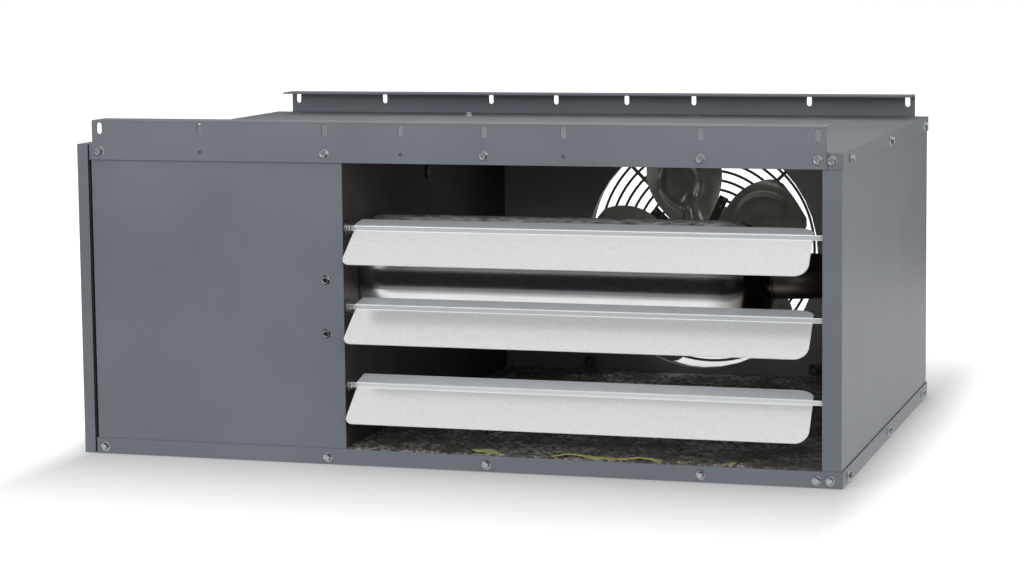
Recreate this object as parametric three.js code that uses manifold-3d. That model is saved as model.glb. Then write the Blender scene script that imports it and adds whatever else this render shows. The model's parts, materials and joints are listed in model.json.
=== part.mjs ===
// A low-profile unit heater that hangs from two slotted ceiling brackets. A folded sheet-steel case holds an
// axial fan with its wire guard at the back, a drum heat exchanger in the air path, three louvers in the
// discharge opening and, behind the plain front cover, the burner, the draft inducer and the controls.
// Millimetres, +Z up. +X is to the right and -Y to the front, as one looks at the discharge opening.
// The origin is the middle of the case's base.

import * as THREE from "three";
import { mergeVertices } from "three/addons/utils/BufferGeometryUtils.js";
import Module from "manifold-3d";

const wasm = await Module();
wasm.setup();

// ---- Driving dimensions -------------------------------------------------------------------------

// Case
const WIDTH = 850;
const DEPTH = 600;
const HEIGHT = 350;
const SHEET = 1.2;
const SEAT_GAP = 0.3; // between two pieces that rest on each other
const TRAY_FLANGE = 17.5; // turned edges of the top and bottom panels
const LIP = 20; // return flanges of the upright panels
const STILE = 22; // width of the painted strip right of the opening
const CONTROL_WIDTH = 299; // from the case's left edge to the partition
const REAR_SEAM = 14; // how far the fan panel laps over the control side
const PARTITION_FLANGE = 38;
const PARTITION_REAR_FLANGE = 13;
const SCREW_HOLE_R = 2.2;
const SCREW_SHANK_R = 1.9;
const SCREW_WASHER_R = 5.2;
const SCREW_WASHER_THICK = 1;
const SCREW_HEX_R = 3.7;
const SCREW_HEAD = 4.2; // washer and hexagon together
const SCREW_LENGTH = 3.2;
const SCREW_FROM_FRONT = 42;

// Side access door
const DOOR_DEPTH = 13;
const GASKET = 1.4;
const GASKET_WIDTH = 14;

// Ceiling brackets
const BRACKET_SHEET = 2;
const BRACKET_RISE = 27; // above the case's top
const BRACKET_DROP = 17; // below the case's top
const BRACKET_FLANGE = 35;
const BRACKET_LEFT_INSET = 5;
const BRACKET_RIGHT_INSET = 17;
const SLOT_WIDTH = 6.5;
const SLOT_HEIGHT = 13;
const SLOT_BELOW_TOP = 9; // slot centre, below the bracket's top
const SLOT_FROM_END = 9;
const SLOT_SHARES = [0, 0.15, 0.331, 0.4395, 0.5556, 0.6642, 0.8475, 1]; // of the way between the end slots
const SPARE_HOLE_SHARES = [0.15, 0.4395, 0.6642]; // slots that have an unused hole below them
const BRACKET_HOLE_ABOVE = 9.5; // hole centre, above the bracket's lower edge

// Louvers
const LOUVER_COUNT = 3;
const TOP_PIVOT_DROP = 72; // below the front bracket's lower edge
const BOTTOM_PIVOT_RISE = 70.5; // above the bottom panel's flange
const LOUVER_SET = [0, 0, 4]; // degrees that each blade is turned down by hand
const PIVOT_BEHIND_FRONT = 9;
const LOUVER_SHEET = 1.2;
const LOUVER_LEFT_GAP = 10.5; // from the partition to the blade
const LOUVER_RIGHT_GAP = 11.5; // from the blade to the stile
const STRIP_HEIGHT = 5.5; // narrow upright strip between the two facets, which runs out into the tabs
const UPPER_FACET = [24.5, 4.2]; // back and up
const LOWER_FACET = [-30, -33.6]; // forward and down
const BLADE_LEFT_R = 8;
const BLADE_RIGHT_R = 16;
const FACET_RIGHT_R = 21; // round corner of the upper facet
const TAB_THROUGH = 8; // how far a tab reaches past the wall that holds it
const TAB_CLEARANCE = 0.6;

// Louver springs, conical
const SPRING_TURNS = 3;
const SPRING_WIRE_R = 0.6;
const SPRING_BIG_R = 8.1;
const SPRING_SMALL_R = 4;
const SPRING_END_ANGLE = 255; // degrees from +Y about +X, where the wire meets the blade's lower facet
const CURL_STEPS = 8;
const CURL_SIDES = 5;

// Fan
const FAN_OFF_MIDDLE = 2; // left of the air section's middle
const ORIFICE_MARGIN = 25; // between the orifice and the case's top and bottom
const ORIFICE_RIM = 8;
const ORIFICE_SIDES = 40;
const BLADE_COUNT = 5;
const FIRST_BLADE = 29; // degrees, anticlockwise from +X, seen from the front
const BLADE_TIP_GAP = 7;
const BLADE_ROOT_R = 16;
const BLADE_SHEET = 1.4;
const BLADE_PITCH = -24; // the anticlockwise edge lies in front
const BLADE_HALF_ROOT = 12;
const BLADE_HALF_WIDE = 51;
const BLADE_WIDEST_AT = 0.78; // share of the blade's length
const BLADE_SWELL = 1.3; // power that keeps the root narrow
const BLADE_TIP_SHARE = 0.56; // of the full width, at the very tip
const BLADE_CORNER = 8; // power that rounds the tip's corners
const BLADE_ROWS = 6;
const BLADE_COLUMNS = 4;
const BLADE_CAMBER = 6;
const FAN_PLANE_INSIDE = 14; // fan's middle plane, in front of the case's back
const HUB_R = 24;
const HUB_LENGTH = 22;
const HUB_DISC_R = 38;
const HUB_DISC_EDGE = 3; // thickness at its rim
const HUB_DISC_MIDDLE = 6;
const HUB_BEHIND_NOSE = 2; // how far the shaft's nose stands out of the hub
const SHAFT_R = 4;
const SHAFT_CLEARANCE = 0.4;

// Fan guard and motor
const GUARD_PITCH = 12;
const GUARD_PAST_ORIFICE = 10;
const GUARD_RING_COUNT = 9;
const GUARD_WIRE_R = 1.3;
const ARM_WIRE_R = 2.3;
const GUARD_STANDOFF = 48;
const ARM_PAST_MOTOR = 4;
const ARM_SIDES = 5;
const RING_WIRE_SIDES = 3;
const GUARD_BOLT_INSET = 3; // sideways and upright, inside the orifice's radius
const GUARD_EYE_R = 8;
const GUARD_EYE_THICK = 3;
const BOLT_R = 3;
const BOLT_CLEARANCE = 0.4;
const BOLT_HEAD_R = 5.8;
const BOLT_HEAD_THICK = 4;
const BOLT_THREAD_PAST_NUT = 3;
const NUT_WIDTH = 15.2;
const NUT_SIDES = 8;
const NUT_THICK = 5;
const NUT_COLLAR_R = 5;
const NUT_COLLAR = 2;
const MOTOR_PLATE_R = 58;
const MOTOR_PLATE_THICK = 2;
const MOTOR_PLATE_BORE = 5; // past the shaft
const MOTOR_R = 43;
const MOTOR_LENGTH = 74;
const MOTOR_BELL = 12;
const MOTOR_BELL_R = 36;

// Insulation
const FLOOR_PAD = 18.5;
const ROOF_PAD = 12;
const PAD_EDGE = 3;

// Heat exchanger
const DRUM_BEHIND_FRONT = 113;
const DRUM_ABOVE_MIDDLE = 26;
const DRUM_R = 65;
const DRUM_SHEET = 1.5;
const DRUM_END_INSET = 118; // from the stile
const DRUM_SHOULDER = 42;
const SHOULDER_STEPS = 3;
const DRUM_PORT_R = 30;
const RETURN_TUBE_R = 18.5;
const RETURN_BEND_R = 58;
const BEND_STEPS = 10;
const RETURN_NECK = 3;
const TUBE_SIDES = 12;
const TUBE_STRAIGHT = 6; // between the neck and the bend
const HANGER_WIDTH = 16;
const HANGER_RISE = 40;

// Burner and gas train
const BURNER_R = 19;
const BURNER_SHEET = 1.5;
const BURNER_LENGTH = 125;
const BURNER_IN_DRUM = 36;
const BURNER_THROAT_R = 11;
const THROAT_SHARE = 1 / 3; // of the burner's length, from its mouth
const BURNER_PLATE_SIZE = 92;
const BURNER_PLATE_THICK = 1.6;
const PROBE_RADIUS_FROM_AXIS = 25;
const PROBE_ANGLES = [125, 55]; // degrees about the drum's axis, from the back
const PROBE_R = 1.5;
const PROBE_CERAMIC_R = 3.4;
const PROBE_CERAMIC = 22;
const PROBE_LENGTH = 34;
const VALVE_SIZE = [70, 60, 54];
const VALVE_TO_BURNER = 44;
const COIL_HALF = 18;
const COIL_HEIGHT = 22;
const HEX_MARGIN = 3; // a pipe hexagon's radius past the pipe's
const HEX_LENGTH = 8;
const SOCKET_DEPTH = 6;
const MANIFOLD_R = 7;
const MANIFOLD_BORE_R = 4.5;
const ORIFICE_TIP_R = 4;
const ORIFICE_BORE_R = 1;
const ORIFICE_LENGTH = 8;
const ORIFICE_DEPTH = 6;
const ORIFICE_TO_BURNER = 4;
const STRAP_WIDTH = 18;
const STRAP_FROM_VALVE = 14;
const STRAP_RISE = 40; // above the manifold's axis
const STRAP_DROP = 8; // below the manifold
const STRAP_LIP = 4;
const PIPE_R = 10.7;
const PIPE_BORE_R = 8;
const PIPE_OUT = 22;
const PIPE_FROM_VALVE_LEFT = 18;
const KNOB_R = 13;
const KNOB_LENGTH = 13;
const KNOB_GRIPS = 10;
const KNOB_GRIP_SHARE = 0.9; // of the knob's radius, in a grip
const KNOB_BAR = 6;
const KNOB_BAR_RISE = 5;
const KNOB_BAR_SHARE = 0.8;

// Draft inducer and flue
const RETURN_Y_STEP = 2 * RETURN_BEND_R;
const INDUCER_R = 62;
const INDUCER_WIDTH = 112;
const INDUCER_SHEET = 1.5;
const INDUCER_OUT_HEIGHT = 55;
const INDUCER_OUT_REACH = 65;
const INDUCER_OUTLET_R = 24;
const INDUCER_WHEEL_R = 50;
const INDUCER_WHEEL_WIDTH = 46;
const INDUCER_VANES = 10;
const INDUCER_VANE_DEPTH = 12;
const INDUCER_VANE_SHEET = 1.2;
const INDUCER_WHEEL_GAP = 12; // from the housing's right side
const INDUCER_DISC = 2;
const INDUCER_HUB_R = 10;
const INDUCER_HUB = 10;
const BORE_REACH = 5; // how far a hole in a thin wall is cut inwards
const WHEEL_SIDES = 20;
const INDUCER_MOTOR_R = 34;
const INDUCER_MOTOR_LENGTH = 52;
const INDUCER_BELL = 8;
const FLUE_R = 38;
const FLUE_SHEET = 1;
const FLUE_CONE = 46;
const FLUE_OUT = 45;
const FLUE_COLLAR_R = 43.5;
const FLUE_COLLAR_THICK = 1.6;

// Controls
const BOARD_SIZE = [132, 88, 1.6];
const BOARD_STANDOFF = 7;
const BOARD_PLACE = [230, 48]; // in front of the case's back, and up
const BOARD_EDGE = 10;
const RELAY = [24, 18, 16];
const TERMINALS = [56, 9, 10];
const CHIP = [18, 18, 4];
const TRAY_WALL = 2;
const POST_R = 3;
const POST_INSET = 6;
const TRANSFORMER_SIZE = [40, 52, 44];
const TRANSFORMER_PLACE = [78, 50];
const FOOT_REACH = 10;
const LAMINATION = 8;
const WINDING_INSET = 12;
const WINDING_PROUD = 8;
const SWITCH_R = 29;
const SWITCH_THICK = 20;
const SWITCH_PLACE = [190, 46]; // in front of the case's back, and below its top
const LIMIT_R = 14;
const LIMIT_BODY_R = 8;
const LIMIT_BODY = 14;
const LIMIT_FLANGE = 2;
const LIMIT_DISC = 3; // how far the sensing disc looks into the air passage
const LIMIT_SIDES = 16;
const LIMIT_PLACE = [312, 50]; // likewise
const HOSE_R = 3.2;
const HOSE_STRAIGHT = 8;
const HOSE_TURN = 1 / 3; // share of its way where it has risen over the switch
const HOSE_ARCH = 14;
const HOSE_STEPS = 14;
const NIPPLE = 8;
const JUNCTION_SIZE = [64, 48, 62];
const JUNCTION_FROM_LEFT = 30;
const JUNCTION_Z = 44;
const JUNCTION_SHEET = 1.2;
const BUSHING_R = 11;
const BUSHING_FLANGE_R = 15;
const BUSHING_WALL = 3;
const BUSHING_INSIDE = 4; // how far its nose reaches into the junction box

const ROUND = 24; // sides of a large round
const SMALL_ROUND = 12; // sides of a small round
const HEX = 6;
const MIDDLE_ROUND = 20; // sides of a round in between
const SLOT_ROUND = 8; // sides of both ends of a slot together
const WELD = 1; // how far two solids that are joined reach into each other
const LONG_CUT = 2000; // longer than anything that is cut

// ---- Places that follow from them ---------------------------------------------------------------

const LEFT = -WIDTH / 2;
const RIGHT = WIDTH / 2;
const FRONT = -DEPTH / 2;
const BACK = DEPTH / 2;
const SKIN = SHEET + SEAT_GAP;
const PARTITION_LEFT = LEFT + CONTROL_WIDTH;
const PARTITION_RIGHT = PARTITION_LEFT + SHEET;
const STILE_EDGE = RIGHT - STILE;
const INNER_RIGHT = RIGHT - SKIN - SHEET;
const PANEL_FRONT = FRONT + SKIN;
const PANEL_BACK = BACK - SKIN;
const PANEL_LOW = SKIN;
const PANEL_HIGH = HEIGHT - SKIN;
const INNER_BACK = PANEL_BACK - SKIN;
const PIVOT_Y = FRONT + PIVOT_BEHIND_FRONT;
const PIVOT_HEIGHTS = Array.from({ length: LOUVER_COUNT }, (_, k) => {
  const top = HEIGHT - BRACKET_DROP - TOP_PIVOT_DROP;
  const bottom = TRAY_FLANGE + BOTTOM_PIVOT_RISE;
  return top + ((bottom - top) * k) / (LOUVER_COUNT - 1);
});
const FAN_X = (PARTITION_RIGHT + STILE_EDGE) / 2 - FAN_OFF_MIDDLE;
const FAN_Y = BACK - FAN_PLANE_INSIDE;
const FAN_Z = HEIGHT / 2;
const ORIFICE_R = HEIGHT / 2 - ORIFICE_MARGIN;
const DRUM_Y = FRONT + DRUM_BEHIND_FRONT;
const DRUM_Z = HEIGHT / 2 + DRUM_ABOVE_MIDDLE;
const DRUM_END_X = STILE_EDGE - DRUM_END_INSET;
const RETURN_Y = DRUM_Y + RETURN_Y_STEP;
const BRACKET_TOP = HEIGHT + BRACKET_RISE;
const BRACKET_LOW = HEIGHT - BRACKET_DROP;
const WALL_FACE = PARTITION_LEFT - SEAT_GAP; // what the controls are screwed to
const INDUCER_RIGHT = WALL_FACE;
const INDUCER_LEFT = INDUCER_RIGHT - INDUCER_WIDTH;
const FLUE_X = (INDUCER_RIGHT + INDUCER_LEFT) / 2;
const FLUE_Z = DRUM_Z + INDUCER_R - INDUCER_OUT_HEIGHT / 2;
const INDUCER_OUT_Y = RETURN_Y + INDUCER_OUT_REACH;
const BURNER_PLATE_LEFT = WALL_FACE - BURNER_PLATE_THICK;
const BURNER_RIGHT = PARTITION_RIGHT + BURNER_IN_DRUM;
const BURNER_LEFT = BURNER_RIGHT - BURNER_LENGTH;
const VALVE_RIGHT = BURNER_LEFT - VALVE_TO_BURNER;
const VALVE_LEFT = VALVE_RIGHT - VALVE_SIZE[0];
const VALVE_BACK = DRUM_Y + VALVE_SIZE[1] / 2;
const PIPE_X = VALVE_LEFT + PIPE_FROM_VALVE_LEFT;

// ---- Shaping helpers ----------------------------------------------------------------------------

const X = new THREE.Vector3(1, 0, 0);
const Y = new THREE.Vector3(0, 1, 0);
const Z = new THREE.Vector3(0, 0, 1);
const BASIS = {
  x: new THREE.Matrix4().makeBasis(Y, Z, X), // outlines across x are drawn in (y, z)
  y: new THREE.Matrix4().makeBasis(X, Z, Y.clone().negate()), // outlines across y are drawn in (x, z)
  z: new THREE.Matrix4(), // outlines across z are drawn in (x, y)
};

// A closed geometry as a solid, whichever way its faces were wound.
function solid(geometry) {
  const plain = new THREE.BufferGeometry();
  plain.setAttribute("position", geometry.getAttribute("position"));
  if (geometry.index) plain.setIndex(geometry.index);
  const merged = mergeVertices(plain, 1e-4);
  const triVerts = new Uint32Array(merged.index.array);
  const vertProperties = new Float32Array(merged.getAttribute("position").array);
  const made = new wasm.Manifold(new wasm.Mesh({ numProp: 3, vertProperties, triVerts }));
  if (made.volume() > 0) return made;
  for (let i = 0; i < triVerts.length; i += 3) {
    [triVerts[i + 1], triVerts[i + 2]] = [triVerts[i + 2], triVerts[i + 1]];
  }
  return new wasm.Manifold(new wasm.Mesh({ numProp: 3, vertProperties, triVerts }));
}

function geometryOf(body) {
  const mesh = body.getMesh();
  const geometry = new THREE.BufferGeometry();
  geometry.setAttribute("position", new THREE.BufferAttribute(new Float32Array(mesh.vertProperties), 3));
  geometry.setIndex(new THREE.BufferAttribute(new Uint32Array(mesh.triVerts), 1));
  geometry.computeVertexNormals();
  return geometry;
}

const joined = (bodies) => bodies.reduce((whole, body) => whole.add(body));
const cutBy = (body, cutters) => cutters.reduce((left, cutter) => left.subtract(cutter), body);
const radians = THREE.MathUtils.degToRad;
const mix = THREE.MathUtils.lerp;

function slab(x0, x1, y0, y1, z0, z1) {
  const box = new THREE.BoxGeometry(x1 - x0, y1 - y0, z1 - z0);
  return solid(box.translate((x0 + x1) / 2, (y0 + y1) / 2, (z0 + z1) / 2));
}

// An outline swept straight along an axis, with holes where they are given.
function prism(outline, axis, from, to, holes = []) {
  const shape = new THREE.Shape(outline);
  shape.holes = holes.map((hole) => new THREE.Path(hole));
  const geometry = new THREE.ExtrudeGeometry(shape, { depth: to - from, bevelEnabled: false });
  geometry.translate(0, 0, axis === "y" ? -to : from);
  return solid(geometry.applyMatrix4(BASIS[axis]));
}

function circle(u, v, radius, sides = ROUND, turn = 0) {
  return Array.from({ length: sides }, (_, i) => {
    const angle = turn + (2 * Math.PI * i) / sides;
    return new THREE.Vector2(u + radius * Math.cos(angle), v + radius * Math.sin(angle));
  });
}

// A slot with round ends, long in v.
function obround(u, v, width, height, sides = SLOT_ROUND) {
  const half = height / 2 - width / 2;
  return circle(u, v, width / 2, sides, Math.PI / sides).map((p) => {
    p.y += p.y > v ? half : -half;
    return p;
  });
}

function rectangle(u0, u1, v0, v1) {
  return [
    new THREE.Vector2(u0, v0),
    new THREE.Vector2(u1, v0),
    new THREE.Vector2(u1, v1),
    new THREE.Vector2(u0, v1),
  ];
}

function rod(axis, u, v, radius, from, to, sides = SMALL_ROUND) {
  return prism(circle(u, v, radius, sides), axis, from, to);
}

function pipe(axis, u, v, outer, inner, from, to, sides = ROUND) {
  return prism(circle(u, v, outer, sides), axis, from, to, [circle(u, v, inner, sides)]);
}

// A profile of [radius, place along the axis] turned about an axis through (u, v).
function turned(profile, axis, u, v, sides = ROUND) {
  const onAxis = profile[0][0] === 0 && profile.at(-1)[0] === 0;
  const closed = onAxis ? profile : [...profile, profile[0]];
  const points = closed.map(([radius, along]) => new THREE.Vector2(radius, along));
  const geometry = new THREE.LatheGeometry(points, sides).rotateX(Math.PI / 2);
  if (axis === "y") geometry.applyMatrix4(new THREE.Matrix4().makeScale(1, 1, -1));
  geometry.applyMatrix4(BASIS[axis]);
  const place = { x: [0, u, v], y: [u, 0, v], z: [u, v, 0] }[axis];
  return solid(geometry.translate(...place));
}

// A bent sheet's outline: a centre line in (u, v), thickened to both sides.
function ribbon(line, thickness) {
  const sides = [1, -1].map((side) =>
    line.map((point, i) => {
      const before = i > 0 ? point.clone().sub(line[i - 1]).normalize() : null;
      const after = i < line.length - 1 ? line[i + 1].clone().sub(point).normalize() : null;
      const along = (before ?? after).clone().add(after ?? before).normalize();
      const stretch = along.dot(before ?? after);
      const across = new THREE.Vector2(-along.y, along.x).multiplyScalar((side * thickness) / 2 / stretch);
      return point.clone().add(across);
    }),
  );
  return [...sides[0], ...sides[1].reverse()];
}

// One unbroken tube through the points, its rings carried along without twist.
function sweep(points, radius, sides) {
  const positions = [];
  const faces = [];
  let across = null;
  points.forEach((point, i) => {
    const before = point.clone().sub(points[Math.max(i - 1, 0)]).normalize();
    const after = points[Math.min(i + 1, points.length - 1)].clone().sub(point).normalize();
    const along = before.add(after).normalize();
    const guess = across ?? (Math.abs(along.z) < 0.8 ? Z : Y);
    across = guess.clone().addScaledVector(along, -guess.dot(along)).normalize();
    const third = along.clone().cross(across);
    for (let k = 0; k < sides; k++) {
      const angle = (2 * Math.PI * k) / sides;
      const spot = point.clone();
      spot.addScaledVector(across, radius * Math.cos(angle));
      spot.addScaledVector(third, radius * Math.sin(angle));
      positions.push(...spot.toArray());
    }
  });
  const last = (points.length - 1) * sides;
  for (let i = 0; i < points.length - 1; i++) {
    for (let k = 0; k < sides; k++) {
      const a = i * sides + k;
      const b = i * sides + ((k + 1) % sides);
      faces.push(a, b, b + sides, a, b + sides, a + sides);
    }
  }
  for (let k = 1; k < sides - 1; k++) {
    faces.push(0, k + 1, k);
    faces.push(last, last + k, last + k + 1);
  }
  const geometry = new THREE.BufferGeometry();
  geometry.setAttribute("position", new THREE.Float32BufferAttribute(positions, 3));
  geometry.setIndex(faces);
  return solid(geometry);
}

// A curved sheet: place(u, v) gives the front face and `step` the way to the back face.
function curvedSheet(place, step, uSteps, vSteps) {
  const positions = [];
  const faces = [];
  const row = vSteps + 1;
  const back = (uSteps + 1) * row;
  for (const side of [0, 1]) {
    for (let i = 0; i <= uSteps; i++) {
      for (let j = 0; j <= vSteps; j++) {
        const spot = place(i / uSteps, (2 * j) / vSteps - 1).addScaledVector(step, side);
        positions.push(...spot.toArray());
      }
    }
  }
  for (let i = 0; i < uSteps; i++) {
    for (let j = 0; j < vSteps; j++) {
      const a = i * row + j;
      faces.push(a, a + 1, a + row + 1, a, a + row + 1, a + row);
      faces.push(back + a, back + a + row + 1, back + a + 1, back + a, back + a + row, back + a + row + 1);
    }
  }
  const rim = [];
  for (let j = 0; j < vSteps; j++) rim.push(j);
  for (let i = 0; i < uSteps; i++) rim.push(i * row + vSteps);
  for (let j = vSteps; j > 0; j--) rim.push(uSteps * row + j);
  for (let i = uSteps; i > 0; i--) rim.push(i * row);
  rim.forEach((a, k) => {
    const b = rim[(k + 1) % rim.length];
    faces.push(b, a, back + a, b, back + a, back + b);
  });
  const geometry = new THREE.BufferGeometry();
  geometry.setAttribute("position", new THREE.Float32BufferAttribute(positions, 3));
  geometry.setIndex(faces);
  return solid(geometry);
}

// ---- Finishes -----------------------------------------------------------------------------------

const FINISHES = {
  paint: { color: "#6b7077", roughness: 0.45, metalness: 0.2 },
  galvanised: { color: "#dcdcdc", roughness: 0.4, metalness: 0.7 },
  aluminised: { color: "#a9a59c", roughness: 0.3, metalness: 0.85 },
  zinc: { color: "#b9bbbd", roughness: 0.35, metalness: 0.9 },
  blackSteel: { color: "#2b2a2a", roughness: 0.5, metalness: 0.4 },
  brass: { color: "#b8964f", roughness: 0.3, metalness: 0.9 },
  castAluminium: { color: "#9d9fa1", roughness: 0.5, metalness: 0.8 },
  darkPlastic: { color: "#26282b", roughness: 0.5, metalness: 0 },
  paleCeramic: { color: "#e6e2d8", roughness: 0.6, metalness: 0 },
  greenBoard: { color: "#2f6b45", roughness: 0.5, metalness: 0 },
  foil: { color: "#8f8d88", roughness: 0.35, metalness: 0.8 },
  foam: { color: "#1d1d1f", roughness: 0.9, metalness: 0 },
  silicone: { color: "#b5482e", roughness: 0.6, metalness: 0 },
};

const heater = new THREE.Group();

function add(name, body, finish) {
  const mesh = new THREE.Mesh(geometryOf(body), new THREE.MeshStandardMaterial(FINISHES[finish]));
  mesh.name = name;
  heater.add(mesh);
}

// ---- Case ---------------------------------------------------------------------------------------

// A flat tray: a sheet at `face` with edges turned towards `edge`, all round.
function tray(face, edge) {
  const sheet = face < edge ? [face, face + SHEET] : [face - SHEET, face];
  const upright = [Math.min(face, edge), Math.max(face, edge)];
  const outside = rectangle(LEFT, RIGHT, FRONT, BACK);
  const inside = rectangle(LEFT + SHEET, RIGHT - SHEET, FRONT + SHEET, BACK - SHEET);
  return prism(outside, "z", ...sheet).add(prism(outside, "z", ...upright, [inside]));
}

// Where a round piece passes through an upright panel that lies across y.
function holeAcrossY(x, z, radius) {
  return rod("y", x, z, radius, FRONT - LONG_CUT, BACK + LONG_CUT, radius > PIPE_BORE_R ? ROUND : SMALL_ROUND);
}

function holeAcrossX(y, z, radius, from, to) {
  return rod("x", y, z, radius, from, to, radius > PIPE_BORE_R ? ROUND : SMALL_ROUND);
}

// Holes that the louver tabs turn in.
function tabHoles(from, to) {
  const radius = STRIP_HEIGHT / 2 + TAB_CLEARANCE;
  return PIVOT_HEIGHTS.map((height) => holeAcrossX(PIVOT_Y, height, radius, from, to));
}

const SCREW_Y = FRONT + SCREW_FROM_FRONT;
const SCREW_Z = HEIGHT - TRAY_FLANGE / 2;

function screwHole() {
  return rod("x", SCREW_Y, SCREW_Z, SCREW_HOLE_R, INNER_RIGHT - 1, RIGHT + 1, SLOT_ROUND);
}

// One of the washer-headed screws that join the top panel's flange to the side panel.
function flangeScrew() {
  const seat = RIGHT + SEAT_GAP;
  const washer = rod("x", SCREW_Y, SCREW_Z, SCREW_WASHER_R, seat, seat + SCREW_WASHER_THICK);
  const hexagon = rod("x", SCREW_Y, SCREW_Z, SCREW_HEX_R, seat, seat + SCREW_HEAD, 6);
  const shank = rod("x", SCREW_Y, SCREW_Z, SCREW_SHANK_R, seat - SCREW_LENGTH, seat + 1, SLOT_ROUND);
  return joined([washer, hexagon, shank]);
}

function rightSidePanel() {
  const outer = RIGHT - SKIN;
  const sheet = slab(INNER_RIGHT, outer, PANEL_FRONT, INNER_BACK, PANEL_LOW, PANEL_HIGH);
  const stile = slab(STILE_EDGE, outer, PANEL_FRONT, PANEL_FRONT + SHEET, PANEL_LOW, PANEL_HIGH);
  const lip = slab(STILE_EDGE, STILE_EDGE + SHEET, PANEL_FRONT, PANEL_FRONT + LIP, PANEL_LOW, PANEL_HIGH);
  const rear = slab(outer - LIP, outer, INNER_BACK - SHEET, INNER_BACK, PANEL_LOW, PANEL_HIGH);
  const cuts = [...tabHoles(STILE_EDGE - SHEET, STILE_EDGE + 2 * SHEET), screwHole()];
  return cutBy(joined([sheet, stile, lip, rear]), cuts);
}

function frontCover() {
  const sheet = slab(LEFT + SKIN, PARTITION_RIGHT, PANEL_FRONT, PANEL_FRONT + SHEET, PANEL_LOW, PANEL_HIGH);
  const lip = slab(LEFT + SKIN, LEFT + SKIN + SHEET, PANEL_FRONT, PANEL_FRONT + LIP, PANEL_LOW, PANEL_HIGH);
  return sheet.add(lip);
}

function partitionWall() {
  const front = PANEL_FRONT + SKIN;
  const left = PARTITION_RIGHT - PARTITION_FLANGE;
  const sheet = slab(PARTITION_LEFT, PARTITION_RIGHT, front, INNER_BACK, PANEL_LOW, PANEL_HIGH);
  const frontFlange = slab(left, PARTITION_RIGHT, front, front + SHEET, PANEL_LOW, PANEL_HIGH);
  const rearLeft = PARTITION_RIGHT - PARTITION_REAR_FLANGE;
  const rearFlange = slab(rearLeft, PARTITION_RIGHT, INNER_BACK - SHEET, INNER_BACK, PANEL_LOW, PANEL_HIGH);
  const from = PARTITION_LEFT - SHEET;
  const to = PARTITION_RIGHT + SHEET;
  return cutBy(joined([sheet, frontFlange, rearFlange]), [
    ...tabHoles(from, to),
    holeAcrossX(DRUM_Y, DRUM_Z, DRUM_PORT_R, from, to),
    holeAcrossX(RETURN_Y, DRUM_Z, RETURN_TUBE_R + SEAT_GAP, from, to),
    holeAcrossX(...limitPlace(), LIMIT_BODY_R + SEAT_GAP, from, to),
  ]);
}

function fanPanel() {
  const left = PARTITION_RIGHT - REAR_SEAM;
  const right = RIGHT - SKIN;
  const hole = circle(FAN_X, FAN_Z, ORIFICE_R, ORIFICE_SIDES);
  const outline = rectangle(left, right, PANEL_LOW, PANEL_HIGH);
  const sheet = prism(outline, "y", PANEL_BACK - SHEET, PANEL_BACK, [hole]);
  const rimOutside = circle(FAN_X, FAN_Z, ORIFICE_R + SHEET, ORIFICE_SIDES);
  const rim = prism(rimOutside, "y", PANEL_BACK - SHEET, PANEL_BACK + ORIFICE_RIM, [hole]);
  const boltHoles = guardBoltPlaces().map(([x, z]) => holeAcrossY(x, z, BOLT_R + BOLT_CLEARANCE));
  return cutBy(sheet.add(rim), boltHoles);
}

function controlRearPanel() {
  const right = PARTITION_RIGHT - REAR_SEAM - SEAT_GAP;
  const left = LEFT + SKIN;
  const sheet = slab(left, right, PANEL_BACK - SHEET, PANEL_BACK, PANEL_LOW, PANEL_HIGH);
  const lip = slab(left, left + SHEET, PANEL_BACK - LIP, PANEL_BACK, PANEL_LOW, PANEL_HIGH);
  return cutBy(sheet.add(lip), [
    holeAcrossY(FLUE_X, FLUE_Z, FLUE_R + SEAT_GAP),
    holeAcrossY(PIPE_X, DRUM_Z, PIPE_R + SEAT_GAP),
    holeAcrossY(bushingX(), bushingZ(), BUSHING_R),
  ]);
}

function sideAccessDoor() {
  const outer = LEFT - SEAT_GAP - GASKET - SEAT_GAP - DOOR_DEPTH;
  const inner = outer + DOOR_DEPTH;
  const outside = rectangle(FRONT, BACK, 0, HEIGHT);
  const inside = rectangle(FRONT + SHEET, BACK - SHEET, SHEET, HEIGHT - SHEET);
  return prism(outside, "x", outer, outer + SHEET).add(prism(outside, "x", outer, inner, [inside]));
}

function doorGasket() {
  const right = LEFT - SEAT_GAP;
  const outside = rectangle(FRONT + SHEET, BACK - SHEET, SHEET, HEIGHT - SHEET);
  const wide = GASKET_WIDTH + SHEET;
  const inside = rectangle(FRONT + wide, BACK - wide, wide, HEIGHT - wide);
  return prism(outside, "x", right - GASKET, right, [inside]);
}

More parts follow.
